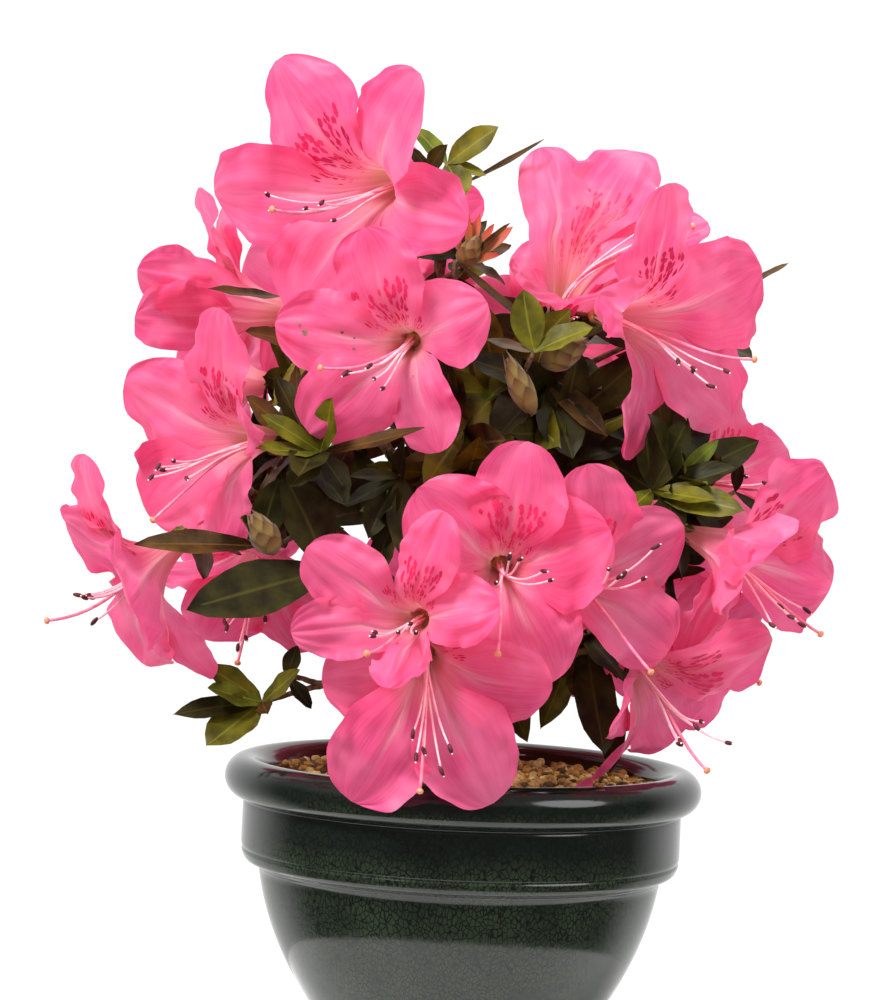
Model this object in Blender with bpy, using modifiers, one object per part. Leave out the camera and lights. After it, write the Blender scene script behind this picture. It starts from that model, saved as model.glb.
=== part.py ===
"""Azalea bonsai in full flower, standing in its glazed pot.

Metres, +Z up. The origin is the centre of the pot's flat underside, and the front of the plant faces -Y.
All sizes, places and tables below are in millimetres and degrees, and MM turns them to metres when a
mesh is made. The trunk rises from the soil, one bough leaves it for each mass of the crown, and every
mass grows from one stem: twigs to its blooms and leafy shoots, all joined into one closed solid.
"""
import math

import bmesh
import bpy
import numpy as np
from mathutils.bvhtree import BVHTree

MM = 0.001
GAP = 0.3               # kept between neighbouring solids
SEED = 41

# Pot, turned about its own axis
POT_HEIGHT = 82.0
RIM_RADIUS = 67.0
RIM_ROLL = 5.75         # radius of the rolled rim's section
COLLAR_RADIUS = 61.6
COLLAR_BOTTOM = 52.0
BOWL_RADIUS = 56.5
FOOT_RADIUS = 36.0
FOOT_HEIGHT = 5.5
WALL = 5.0
FLOOR = 6.0
TURNED_STEPS = 30

# Soil and trunk
SOIL_LEVEL = 76.0
SOIL_MOUND = 1.2        # how far the soil rises round the trunk
MOUND_RADIUS = 17.0
TRUNK_PATH = ((-8, 4, 77.5), (-7, 4.5, 82), (-5.5, 6, 96), (-8, 7, 116), (-7, 6, 138), (-3, 4, 158),
              (-3, 2, 174))
TRUNK_RADII = (11.0, 8.2, 6.6, 5.6, 4.7, 3.9, 3.1)
TRUNK_SIDES = 12
ROOT_FLARE = 0.28       # share by which five roots stand out of the foot
ROOTS = 5

# Boughs, stems and twigs
BOUGH_SHARE = 0.62      # how far a bough runs towards the middle of its mass
BOUGH_RADII = (2.6, 2.3, 2.0, 1.7)
BOUGH_SIDES = 6
STEM_RADII = (1.7, 1.5, 1.3)
TWIG_RADII = (1.1, 0.95, 0.85, 0.8)
TWIG_SIDES = 3
TWIG_SUNK = (0.6, 3.0)  # how deep the twigs' roots lie behind the stem's end
TWIG_TRIES = 40         # bends that a twig tries before it is left out

# Bloom: funnel that parts into five petals, measured on a bloom of size 1
PETAL_REACH = 52.0      # along the petal from the funnel's foot to the tip
PETAL_WIDTH = 28.0
PETAL_ARC = 40.0        # radius of the open petal's cross-section
NOTCH = 0.42            # share of the reach where neighbouring petals part
TUBE_SLOPE = 14.0       # slope of the tube's wall from the axis
TUBE_FOOT = (2.0, -9.0)  # radius, and height below the throat
PETAL_ROWS = (0.56, 0.82, 1.0)
PETAL_SHEET = ((0, 1, 4, 3), (1, 2, 5, 4), (3, 4, 7, 6), (4, 5, 8, 7))  # faces of its left and right half
PETAL_THICKNESS = 0.5   # half of it, at the midrib
SHORTER = (1.0, 0.93, 0.86, 0.79, 0.72, 0.65, 0.58, 0.5)  # what a petal tries before it gives up
SMALLER = (1.0, 0.93, 0.86, 0.79)  # what a bloom tries
PETAL_LAP = 1.3         # how far one edge of a petal rides over its neighbour, and the other runs under
FUNNEL_FOOT = (1.4, -10.0)  # radius and height of the funnel's closed end
FUNNEL_DEPTH = -4.0     # height of the bottom of its hollow
STAMEN_REACH = 33.0
STAMEN_FANS = (-0.24, 0.16)
EVEN = ((82, 0.95, 1.1, 0),) * 5

LEAF_SHAPE = 0.34       # width over length
LEAF_THICKNESS = 0.03   # over length
GOLDEN_TURN = 137.5
BRACTS = 1              # leaves on the twig just behind a bloom

# Every mass: the height on the trunk where its bough starts, its middle, its blooms and its leafy shoots.
# A bloom is its throat, the way it faces (degrees to the right of the front, degrees up), the roll of its
# spotted petal, its size, and its petals clockwise from the spotted one as (spread from the axis, length,
# width, turn). A shoot is its place, its direction, its number of leaves and their length.
MASSES = {
    "mass_top_front": {
        "fork": 172, "middle": (-13, -14, 214),
        "blooms": (
            ((-27, -35, 240), (-38, -14), -25, 1.10,
             ((88, 1.0, 1.1, 4), (80, 1.12, 0.95, -6), (80, 0.92, 1.0, -8), (78, 0.9, 0.95, 26),
              (85, 1.05, 1.1, 12))),
            ((-20, -50, 197.5), (-10, -8), -8, 0.88,
             ((95, 0.93, 1.1, -6), (95, 0.78, 1.15, -2), (90, 0.88, 0.75, 30), (90, 0.9, 1.1, 12),
              (95, 1.0, 1.1, 0)))),
        "shoots": (((-9, -5, 240), (0.5, -0.1, 1.0), 6, 24), ((-3, -8, 224), (0.5, -0.5, 0.7), 6, 17))},
    "mass_top_right": {
        "fork": 160, "middle": (18, -5, 188),
        "blooms": (
            ((22.5, -10, 214), (12, 50), 8, 1.02,
             ((75, 1.05, 1.15, 19), (70, 1.0, 1.0, 0), (60, 0.6, 0.8, 0), (60, 0.6, 0.8, 10),
              (75, 1.05, 0.95, 42))),
            ((38, -30, 206.5), (45, -5), -5, 1.08,
             ((75, 0.95, 1.15, -4), (80, 0.98, 1.1, 8), (80, 0.98, 1.15, -14), (85, 1.0, 0.65, -8),
              (70, 0.75, 0.8, 0)))),
        "shoots": (((20, -18, 199), (0.0, -0.7, 0.5), 7, 24),)},
    "mass_left_low": {
        "fork": 120, "middle": (-42, -6, 148),
        "blooms": (
            ((-83, -35, 139), (-55, -35), 4, 0.98,
             ((95, 0.95, 0.75, 0), (50, 1.0, 1.15, 4), (95, 1.02, 0.5, 12), (85, 0.95, 1.05, -5),
              (80, 0.85, 1.05, 13))),
            ((-60, 15, 139), (-15, -50), 5, 0.95, ((60, 0.8, 1.0, 0),) * 5)),
        "shoots": (((-58, -28, 146), (-0.6, -0.3, -0.5), 7, 37),
                   ((-47, -25, 154), (-0.1, -0.5, -0.6), 6, 34))},
    "mass_left_high": {
        "fork": 148, "middle": (-36, -8, 180),
        "blooms": (
            ((-65.5, 5, 209), (-60, 5), -20, 1.0,
             ((95, 0.7, 1.0, 0), (70, 0.95, 0.45, -40), (60, 0.6, 0.9, 0), (60, 0.95, 0.9, 40),
              (55, 0.95, 0.95, 10))),
            ((-60.5, -35, 170), (-45, -5), 4, 1.0,
             ((78, 1.0, 1.0, 0), (48, 0.8, 0.7, -16), (80, 0.75, 0.7, 36), (78, 1.0, 1.1, 13),
              (80, 0.95, 1.15, 0)))),
        "shoots": (((-44, -44, 169), (0.1, -0.6, 0.7), 7, 26), ((-48, 2, 196), (-0.8, -0.5, 0.1), 5, 24))},
    "mass_front": {
        "fork": 108, "middle": (-4, -26, 134),
        "blooms": (
            ((-13, -70, 127.5), (-18, 0), 5, 0.82,
             ((80, 0.9, 0.8, 8), (80, 0.85, 0.95, 0), (110, 0.62, 0.7, 40), (85, 1.0, 1.0, 32),
              (80, 0.95, 1.0, 0))),
            ((7, -60, 139.5), (2, -5), 8, 0.92,
             ((90, 0.95, 1.0, 0), (85, 0.82, 1.3, -14), (88, 0.87, 1.05, 0), (85, 0.6, 1.0, 0),
              (88, 0.85, 1.2, 16))),
            ((-11.5, -66, 114.5), (3, -12), 2, 1.05,
             ((45, 0.75, 1.0, 28), (85, 0.78, 0.95, 16), (88, 1.0, 0.97, 4), (88, 1.0, 0.97, -10),
              (85, 0.74, 0.95, -20))),
            ((26, -50, 137.5), (32, -8), 0, 0.98,
             ((85, 0.98, 1.05, -5), (80, 0.83, 1.1, -12), (80, 0.87, 1.05, -17), (40, 0.65, 0.8, 14),
              (80, 0.8, 1.0, 0)))),
        "shoots": (((-22, -30, 154), (-0.5, -0.5, 0.3), 6, 28), ((33, -28, 118), (0.0, -0.2, -1.0), 4, 34))},
    "mass_right": {
        "fork": 126, "middle": (36, -9, 142),
        "blooms": (
            ((62.5, -30, 148), (52, -20), 38, 1.02,
             ((78, 1.0, 1.2, 2), (78, 1.0, 1.15, -4), (80, 0.98, 1.0, -10), (100, 0.8, 0.6, -14),
              (45, 0.95, 1.2, -16))),
            ((46, -35, 113), (45, -35), 50, 0.98,
             ((80, 0.9, 1.15, 4), (80, 0.75, 1.1, 0), (95, 1.05, 0.35, 10), (55, 0.65, 0.7, -20),
              (60, 0.6, 0.7, -20)))),
        "shoots": (((55, -32, 165), (0.4, -0.6, 0.5), 7, 32), ((45, -25, 174), (-0.2, -0.5, 0.8), 5, 28))},
    "mass_centre": {
        "fork": 142, "middle": (4, -16, 168),
        "blooms": (),
        "shoots": (((5, -24, 186), (-0.3, -0.8, 0.2), 7, 34), ((22, -28, 176), (0.4, -0.8, 0.0), 7, 34),
                   ((-7, -26, 171), (-0.4, -0.7, 0.1), 6, 32), ((12, -20, 194), (0.1, -0.5, 0.8), 5, 22))},
    "mass_low_spray": {
        "fork": 96, "middle": (-38, -8, 103),
        "blooms": (),
        "shoots": (((-47, -12, 101), (-0.8, -0.3, 0.4), 5, 21), ((-58, -14, 97), (-1.0, -0.2, -0.1), 6, 21))},
    "mass_back_top": {
        "fork": 166, "middle": (-17, 34, 204),
        "blooms": (
            ((-13, 25, 231.5), (20, 10), 30, 0.72, EVEN),
            ((-36, 50, 212), (-150, 10), 0, 0.9, EVEN),
            ((-20, 50, 236), (175, 35), 0, 0.8, EVEN)),
        "shoots": (((-34, 22, 216), (-0.7, 0.1, 0.6), 6, 25), ((-4, 34, 214), (0.3, 0.6, 0.7), 6, 26))},
    "mass_back_right_high": {
        "fork": 154, "middle": (26, 36, 180),
        "blooms": (
            ((18.5, 30, 200), (5, 20), 0, 0.8, EVEN),
            ((46, 46, 206), (140, 15), 0, 0.95, EVEN),
            ((64.5, 20, 163), (40, 10), 0, 0.72, EVEN)),
        "shoots": (((50, 18, 186), (0.8, 0.2, 0.4), 7, 28), ((28, 45, 184), (0.3, 0.8, 0.1), 6, 28))},
    "mass_back_left": {
        "fork": 136, "middle": (-38, 24, 162),
        "blooms": (
            ((-63, 34, 186), (-115, 0), 0, 0.82, EVEN),
            ((-64, 44, 158), (-140, -8), 20, 0.85, EVEN)),
        "shoots": (((-46, 46, 178), (-0.5, 0.8, 0.3), 6, 27), ((-62, 18, 166), (-1.0, 0.0, 0.1), 6, 26))},
    "mass_back": {
        "fork": 130, "middle": (2, 34, 158),
        "blooms": (
            ((8, 72, 182), (175, 5), 0, 0.95, EVEN),
            ((0, 70, 142), (185, -10), 36, 0.9, EVEN)),
        "shoots": (((-20, 52, 172), (-0.5, 0.8, 0.2), 6, 28), ((22, 56, 160), (0.5, 0.8, 0.1), 6, 28))},
    "mass_back_right_low": {
        "fork": 114, "middle": (28, 28, 140),
        "blooms": (
            ((50, 58, 160), (145, -5), 0, 0.92, EVEN),
            ((42, 55, 126), (145, -25), 0, 0.82, EVEN),
            ((59, 24, 122), (108, -20), 0, 0.85, EVEN)),
        "shoots": (((58, 32, 144), (0.9, 0.3, 0.1), 6, 27), ((30, 36, 112), (0.3, 0.5, -0.7), 5, 28))},
    "mass_back_low": {
        "fork": 101, "middle": (-10, 30, 116),
        "blooms": (((-10, 56, 112), (180, -35), 0, 0.8, EVEN),),
        "shoots": (((-28, 38, 122), (-0.8, 0.5, 0.1), 6, 25), ((8, 36, 106), (0.5, 0.5, -0.3), 5, 24))},
}

COLOURS = {
    "pot": ((0.012, 0.035, 0.022), 0.12),
    "soil": ((0.30, 0.19, 0.09), 0.95),
    "trunk": ((0.16, 0.10, 0.06), 0.85),
    "bough": ((0.20, 0.12, 0.07), 0.80),
    "mass": ((0.90, 0.18, 0.36), 0.55),
}


def unit(v):
    v = np.asarray(v, float)
    return v / np.linalg.norm(v)


def bezier(start, middle, end, count):
    """Points on the curve that leaves `start` towards `middle` and arrives at `end` from it."""
    t = np.linspace(0.0, 1.0, count)[:, None]
    start, middle, end = (np.asarray(p, float) for p in (start, middle, end))
    return (1 - t) ** 2 * start + 2 * t * (1 - t) * middle + t ** 2 * end


def limb(path, radii, sides, first=None, last=None, swell=None):
    """Tapering limb: a ring of points square to the path at each of its points, with both ends closed.

    `first` and `last` give the directions that the two end faces look along. `swell` is a factor for
    each point of the first ring, which fades out over the second.
    """
    path = np.asarray(path, float)
    tangents = np.gradient(path, axis=0)
    if first is not None:
        tangents[0] = first
    if last is not None:
        tangents[-1] = last
    angles = np.arange(sides) * 2 * math.pi / sides
    side = unit(np.cross(unit(tangents[0]), (0.31, 0.87, 0.38)))
    rings = []
    for i, (point, tangent, radius) in enumerate(zip(path, tangents, radii)):
        tangent = unit(tangent)
        side = unit(side - side.dot(tangent) * tangent)
        up = np.cross(tangent, side)
        reach = np.full(sides, float(radius))
        if swell is not None and i < 2:
            reach *= 1 + (np.asarray(swell) - 1) * (1, 0.35)[i]
        rings.append(point + reach[:, None] * (np.cos(angles)[:, None] * side + np.sin(angles)[:, None] * up))
    faces = [tuple(range(sides))[::-1]]
    for i in range(len(path) - 1):
        for j in range(sides):
            k = (j + 1) % sides
            faces.append((i * sides + j, i * sides + k, (i + 1) * sides + k, (i + 1) * sides + j))
    faces.append(tuple(range((len(path) - 1) * sides, len(path) * sides)))
    return np.concatenate(rings), faces


def bloom_axes(facing):
    """Axis out of the bloom's mouth, and its own right and up as the front view sees them."""
    right_turn, rise = (math.radians(angle) for angle in facing)
    axis = np.array((math.sin(right_turn) * math.cos(rise), -math.cos(right_turn) * math.cos(rise),
                     math.sin(rise)))
    up = unit(np.array((0.0, 0.0, 1.0)) - axis[2] * axis)
    return axis, np.cross(up, axis), up


def petal_side_view(spread, reach):
    """Share of the petal's length, distance from the axis and height along it, on its midrib.

    The slope turns smoothly from the tube's to `spread` between 16% and 68% of the length.
    """
    v = np.linspace(0.0, 1.0, 61)
    turn = np.clip((v - 0.16) / 0.52, 0, 1)
    slope = np.radians(TUBE_SLOPE + (spread - TUBE_SLOPE) * turn ** 2 * (3 - 2 * turn))
    middle = (slope[1:] + slope[:-1]) / 2
    step = reach * np.diff(v)
    out = TUBE_FOOT[0] + np.concatenate([[0.0], np.cumsum(step * np.sin(middle))])
    rise = TUBE_FOOT[1] + np.concatenate([[0.0], np.cumsum(step * np.cos(middle))])
    return v, out, rise


def petal_half_width(v, out, widest):
    """A fifth of the ring up to the notch, then a swelling lobe with a round tip."""
    ring = math.pi * out / 5
    at_notch = math.pi * np.interp(NOTCH, v, out) / 5
    lobe = np.clip((v - NOTCH) / (1 - NOTCH), 0, 1)
    rise = at_notch + (widest - at_notch) * np.sin(math.pi / 2 * np.clip(lobe / 0.42, 0, 1))
    fall = widest * np.sqrt(1 - np.clip((lobe - 0.42) / 0.58, 0, 1) ** 2.4)
    return np.where(v < NOTCH, ring, np.where(lobe < 0.42, rise, fall))


def petal(throat, facing, angle, size, spread, length, width):
    """Left edge, midrib and right edge of a petal at PETAL_ROWS, and where its midrib passes the notch."""
    axis, right, up = bloom_axes(facing)
    v, out, rise = petal_side_view(spread, PETAL_REACH * length)
    half = petal_half_width(v, out, PETAL_WIDTH / 2 * width)
    arc = out + (PETAL_ARC - out) * np.clip((v - NOTCH) / 0.3, 0, 1)
    notch = np.interp(NOTCH, v, out), np.interp(NOTCH, v, rise), angle
    out, rise, half, arc = (np.interp(PETAL_ROWS, v, values) for values in (out, rise, half, arc))
    outward = up * math.cos(angle) + right * math.sin(angle)
    around = right * math.cos(angle) - up * math.sin(angle)
    columns = []
    for u in (-1, 0, 1):
        bend = u * half / arc
        distance = out - arc * (1 - np.cos(bend))
        columns.append(throat + size * (distance[:, None] * outward + (arc * np.sin(bend))[:, None] * around
                                        + (rise + u * PETAL_LAP)[:, None] * axis))
    return columns, notch


def corolla(throat, facing, roll, size, petals):
    """Closed funnel with five petals: foot, notches, hollow, then each petal with its two sides.

    A notch goes as deep as that of the shorter of its two petals. At the root a petal has only half its turn.
    """
    axis, right, up = bloom_axes(facing)

    def around(angles):
        return np.cos(angles)[:, None] * up + np.sin(angles)[:, None] * right

    regular = math.radians(roll) + 0.4 * math.pi * np.arange(5)
    out, rise, angles = np.array([notch for _, notch in petals]).T
    turns = (angles - regular) / 2
    lower_out, lower_rise = np.minimum(out, np.roll(out, -1)), np.minimum(rise, np.roll(rise, -1))
    notches = around(regular + 0.2 * math.pi + (turns + np.roll(turns, -1)) / 2)
    place = throat + size * (lower_out[:, None] * notches + lower_rise[:, None] * axis)
    ribs = around(regular + turns)
    roots = throat + size * (out[:, None] * ribs + rise[:, None] * axis)
    foot = throat + size * (FUNNEL_FOOT[0] * ribs + FUNNEL_FOOT[1] * axis)
    points = [*foot, *place, throat + size * FUNNEL_DEPTH * axis]
    faces = [(0, 1, 2, 3, 4)]
    for i, ((left, middle, right_edge), _) in enumerate(petals):
        j, before = (i + 1) % 5, 5 + (i - 1) % 5
        ridge = np.concatenate([roots[i:i + 1], middle[:-1]])
        along = np.gradient(np.concatenate([ridge, middle[-1:]]), axis=0)[:-1]
        span = np.concatenate([[place[i] - place[i - 1]], (right_edge - left)[:-1]])
        thick = np.cross(span, along)
        thick *= PETAL_THICKNESS * size / np.linalg.norm(thick, axis=1)[:, None]
        a = len(points)
        # upper side, lower side, left edge, right edge and tip
        points += [*(ridge + thick), *(ridge - thick), *left[:-1], *right_edge[:-1], middle[-1]]
        upper, lower = [a, a + 1, a + 2], [a + 3, a + 4, a + 5]
        left_side, right_side, tip = [before, a + 6, a + 7], [5 + i, a + 8, a + 9], a + 10
        for edge in (left_side, right_side):
            for k in (0, 1):
                # both sides are split along the shorter diagonal, so that they never cross
                shorter = (np.linalg.norm(ridge[k + 1] - points[edge[k]])
                           < np.linalg.norm(ridge[k] - points[edge[k + 1]]))
                for side in (upper, lower):
                    near, far = side[k], side[k + 1]
                    faces += ([(near, far, edge[k]), (far, edge[k + 1], edge[k])] if shorter
                              else [(near, far, edge[k + 1]), (near, edge[k + 1], edge[k])])
            faces += [(upper[2], tip, edge[2]), (lower[2], tip, edge[2])]
        faces += [(10, upper[0], before), (10, upper[0], 5 + i), (i, lower[0], before), (i, lower[0], 5 + i),
                  (i, 5 + i, j)]
    return np.array(points), faces


def leaf(root, direction, face_up, length):
    """Eight-faced leaf: root, tip, two edges, and the midrib's upper and lower points."""
    direction = unit(direction)
    across = unit(np.cross(direction, face_up))
    normal = np.cross(across, direction)
    widest = root + 0.52 * length * direction
    half = LEAF_SHAPE * length / 2
    rise = LEAF_THICKNESS * length / 2
    points = np.array((root, root + length * direction - 0.08 * length * normal,
                       widest + half * across, widest - half * across,
                       widest - rise * normal, widest + (rise + 0.02 * length) * normal))
    faces = [(0, 2, 5), (0, 5, 3), (0, 3, 4), (0, 4, 2), (1, 5, 2), (1, 3, 5), (1, 4, 3), (1, 2, 4)]
    return points, faces


class Space:
    """What the finished solids take up, and what is kept free for the blooms of masses still to come."""

    def __init__(self):
        self.solids = []
        self.reserved = {}

    def entry(self, points, faces):
        tree = BVHTree.FromPolygons([tuple(p) for p in points], faces)
        return tree, points.min(axis=0) - GAP, points.max(axis=0) + GAP

    def add(self, points, faces):
        self.solids.append(self.entry(points, faces))

    def reserve(self, owner, points, faces):
        self.reserved.setdefault(owner, []).append(self.entry(points, faces))

    def is_clear(self, piece, gap=GAP, heed_reserved=True):
        points, faces = piece
        low, high = points.min(axis=0), points.max(axis=0)
        entries = list(self.solids)
        if heed_reserved:
            entries += sum(self.reserved.values(), [])
        near = [tree for tree, t_low, t_high in entries if (high > t_low).all() and (low < t_high).all()]
        if not near:
            return True
        own = BVHTree.FromPolygons([tuple(p) for p in points], faces)
        probes = list(points) + [points[list(face)].mean(axis=0) for face in faces]
        for tree in near:
            if own.overlap(tree):
                return False
            if any(tree.find_nearest(tuple(p), gap)[0] is not None for p in probes):
                return False
        return True


def make_object(name, points, faces, collection):
    """Mesh object in metres, in outward triangles, because a bent face doesn't join cleanly."""
    mesh = bpy.data.meshes.new(name)
    mesh.from_pydata([tuple(p) for p in np.asarray(points) * MM], [], [tuple(f) for f in faces])
    shape = bmesh.new()
    shape.from_mesh(mesh)
    bmesh.ops.recalc_face_normals(shape, faces=shape.faces)
    bmesh.ops.triangulate(shape, faces=shape.faces)
    shape.to_mesh(mesh)
    shape.free()
    piece = bpy.data.objects.new(name, mesh)
    collection.objects.link(piece)
    return piece


def largest_body(mesh):
    """Leaves only the biggest connected body in the mesh: scraps and sealed hollows go."""
    shape = bmesh.new()
    shape.from_mesh(mesh)
    unseen = set(shape.verts)
    bodies = []
    while unseen:
        front = [unseen.pop()]
        body = set(front)
        while front:
            for edge in front.pop().link_edges:
                for vertex in edge.verts:
                    if vertex in unseen:
                        unseen.discard(vertex)
                        body.add(vertex)
                        front.append(vertex)
        bodies.append(body)
    keep = max(bodies, key=len)
    bmesh.ops.delete(shape, geom=[v for body in bodies if body is not keep for v in body], context="VERTS")
    shape.to_mesh(mesh)
    shape.free()


def apply_boolean(target, operation, operands):
    """Joins or cuts `target` with all the operand objects at once, and removes them.

    A piece may cross itself, as a corolla does where one petal lies over the next.
    """
    helpers = bpy.data.collections.new("operands")
    bpy.context.scene.collection.children.link(helpers)
    for operand in operands:
        helpers.objects.link(operand)
    cut = target.modifiers.new(operation, "BOOLEAN")
    cut.operation = operation
    cut.operand_type = "COLLECTION"
    cut.collection = helpers
    cut.solver = "EXACT"
    cut.use_self = True
    bpy.context.view_layer.update()
    evaluated = target.evaluated_get(bpy.context.evaluated_depsgraph_get())
    joined = bpy.data.meshes.new_from_object(evaluated)
    target.modifiers.remove(cut)
    old = target.data
    target.data = joined
    joined.name = target.name
    bpy.data.meshes.remove(old)
    for operand in operands:
        bpy.data.objects.remove(operand)
    bpy.data.collections.remove(helpers)
    largest_body(joined)


def mesh_in_mm(piece):
    """Points and faces of a finished object, back in millimetres."""
    mesh = piece.data
    flat = np.empty(3 * len(mesh.vertices))
    mesh.vertices.foreach_get("co", flat)
    return flat.reshape(-1, 3) / MM, [tuple(face.vertices) for face in mesh.polygons]


def finish(piece, kind):
    """Gives a node its material: one for each kind of surface."""
    colour, roughness = COLOURS[kind]
    material = bpy.data.materials.get(kind) or bpy.data.materials.new(kind)
    material.use_nodes = True
    shader = material.node_tree.nodes["Principled BSDF"]
    shader.inputs["Base Color"].default_value = (*colour, 1.0)
    shader.inputs["Roughness"].default_value = roughness
    shader.inputs["Metallic"].default_value = 0.0
    piece.data.materials.clear()
    piece.data.materials.append(material)


def bowl_radius(z):
    """Outer radius of the bowl below the collar: it closes in faster and faster towards the foot."""
    down = COLLAR_BOTTOM - z
    return BOWL_RADIUS - 0.132 * down - 0.00704 * down ** 2


def inner_radius(z):
    """Inner radius of the pot, straight behind the collar and then a wall's thickness inside the bowl."""
    return min(BOWL_RADIUS - 0.5, bowl_radius(min(z, COLLAR_BOTTOM)) - WALL + max(0.0, z - 47.0))


def pot_profile():
    """Half section from the middle of the floor, up the inside, over the rim and down to the foot."""
    points = [(0.0, FLOOR)]
    points += [(inner_radius(z), z) for z in (FLOOR, 12, 20, 30, 41, 50, 60)]
    centre = (RIM_RADIUS - RIM_ROLL, POT_HEIGHT - RIM_ROLL)
    for degrees in (180, 150, 115, 80, 45, 10, -25, -60):
        angle = math.radians(degrees)
        points.append((centre[0] + RIM_ROLL * math.cos(angle), centre[1] + RIM_ROLL * math.sin(angle)))
    points += [(COLLAR_RADIUS, POT_HEIGHT - 12.0), (COLLAR_RADIUS, COLLAR_BOTTOM + 4.0),
               (COLLAR_RADIUS - 1.2, COLLAR_BOTTOM + 1.2), (BOWL_RADIUS + 0.6, COLLAR_BOTTOM)]
    points += [(bowl_radius(z), z) for z in (COLLAR_BOTTOM - 2, 42, 34, 26, 19, 12, 7)]
    points += [(FOOT_RADIUS, FOOT_HEIGHT), (FOOT_RADIUS, 1.0), (FOOT_RADIUS - 1.0, 0.0), (0.0, 0.0)]
    return points


def soil_profile():
    """Half section of the soil: a low mound round the trunk, then down inside the pot's wall."""
    edge = RIM_RADIUS - 2 * RIM_ROLL - GAP
    points = [(0.0, SOIL_LEVEL + SOIL_MOUND), (MOUND_RADIUS, SOIL_LEVEL + SOIL_MOUND),
              (edge - 1.2, SOIL_LEVEL - 0.6), (edge, SOIL_LEVEL - 1.8)]
    points += [(inner_radius(z) - GAP, z) for z in (50, 41, 30, 20, 12, FLOOR + GAP)]
    points.append((0.0, FLOOR + GAP))
    return points


def turned(name, profile, kind, collection):
    """Piece turned about the Z axis from its half section."""
    mesh = bpy.data.meshes.new(name)
    mesh.from_pydata([(r * MM, 0.0, z * MM) for r, z in profile],
                     [(i, i + 1) for i in range(len(profile) - 1)], [])
    piece = bpy.data.objects.new(name, mesh)
    collection.objects.link(piece)
    screw = piece.modifiers.new("turn", "SCREW")
    screw.steps = TURNED_STEPS
    screw.render_steps = TURNED_STEPS
    screw.use_merge_vertices = True
    screw.merge_threshold = 0.00005
    screw.use_smooth_shade = True
    finish(piece, kind)
    return piece


def evaluated_in_mm(piece):
    """Points and faces of an object with its modifiers, in millimetres."""
    bpy.context.view_layer.update()
    evaluated = piece.evaluated_get(bpy.context.evaluated_depsgraph_get())
    mesh = evaluated.to_mesh()
    points = np.array([tuple(v.co) for v in mesh.vertices]) / MM
    faces = [tuple(face.vertices) for face in mesh.polygons]
    evaluated.to_mesh_clear()
    return points, faces


def trunk_shape(grow=0.0):
    """Trunk with its root flare and lean, or the same `grow` millimetres fatter, to cut the boughs."""
    angles = np.arange(TRUNK_SIDES) * 2 * math.pi / TRUNK_SIDES
    swell = 1 + ROOT_FLARE * np.cos(ROOTS * angles + 0.6)
    radii = [radius + grow for radius in TRUNK_RADII]
    path = np.array(TRUNK_PATH, float)
    path[-1, 2] += grow
    return limb(path, radii, TRUNK_SIDES, first=(0, 0, 1), last=(0, 0, 1), swell=swell)


def bough_route(mass):
    """Path of a bough, from inside the trunk to the place where its mass begins, and its last direction."""
    path = np.array(TRUNK_PATH, float)
    start = np.array([np.interp(mass["fork"], path[:, 2], path[:, k]) for k in range(3)])
    middle = np.array(mass["middle"], float)
    end = start + BOUGH_SHARE * (middle - start)
    turn = start + 0.5 * (end - start) + np.array((0.0, 0.0, -2.0))
    return bezier(start, turn, end, len(BOUGH_RADII)), unit(end - turn)


def stem_route(mass):
    """Path of a mass's stem, from a gap past its bough's tip to the middle of the mass."""
    path, direction = bough_route(mass)
    start = path[-1] + GAP * direction
    middle = np.array(mass["middle"], float)
    reach = np.linalg.norm(middle - start)
    return bezier(start, start + 0.5 * reach * direction, middle, len(STEM_RADII)), direction


def twig(start, end, arrival, radii, space, rng):
    """Twig that leaves the stem and arrives along `arrival`, bent another way while it touches a solid."""
    start, end = np.asarray(start, float), np.asarray(end, float)
    reach = np.linalg.norm(end - start)
    for attempt in range(TWIG_TRIES):
        bend = 0.035 * reach * (1 + attempt / 8) if attempt else 0.0
        turn = end - 0.45 * reach * unit(arrival) + rng.normal(0.0, bend, 3)
        piece = limb(bezier(start, turn, end, len(radii)), radii, TWIG_SIDES, last=arrival)
        if space.is_clear(piece):
            return piece
    return None


def fitted_corolla(row, size, space):
    """Corolla in which a petal that would touch a solid is shorter, or None where the funnel has no room."""
    throat, facing, roll, _, rows = row
    petals = []
    for index, (spread, length, width, turn) in enumerate(rows):
        angle = math.radians(roll + 72 * index + turn)
        for shorter in SHORTER:
            petals[index:] = [petal(throat, facing, angle, size, spread, length * shorter, width)]
            sheet = np.concatenate(petals[index][0]), PETAL_SHEET
            if space.is_clear(sheet, GAP + PETAL_THICKNESS, heed_reserved=False):
                break
    piece = corolla(throat, facing, roll, size, petals)
    return piece if space.is_clear(piece, heed_reserved=False) else None


def bloom(row, start, space, rng):
    """Twig, corolla, stamens and the leaf behind one bloom, which is smaller where it has no room."""
    throat, facing = np.array(row[0], float), row[1]
    axis, right, up = bloom_axes(facing)
    for size in np.array(SMALLER) * row[3]:
        flower = fitted_corolla((throat,) + row[1:], size, space)
        foot = throat + size * FUNNEL_FOOT[1] * axis
        stalk = flower and twig(start, foot + 1.5 * axis, axis, TWIG_RADII, space, rng)
        if stalk:
            break
    else:
        return []
    pieces = [stalk, flower]
    for fan in STAMEN_FANS:
        tip = throat + size * STAMEN_REACH * unit(axis + fan * right - 0.16 * up)
        rod = limb((throat + size * (FUNNEL_DEPTH - 1.5) * axis, tip), (0.5, 0.6), TWIG_SIDES)
        if space.is_clear(rod):
            pieces.append(rod)
    pieces += whorl(foot - 2.5 * axis, axis, BRACTS, 22.0, 72.0, space, rng)
    return pieces


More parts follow.
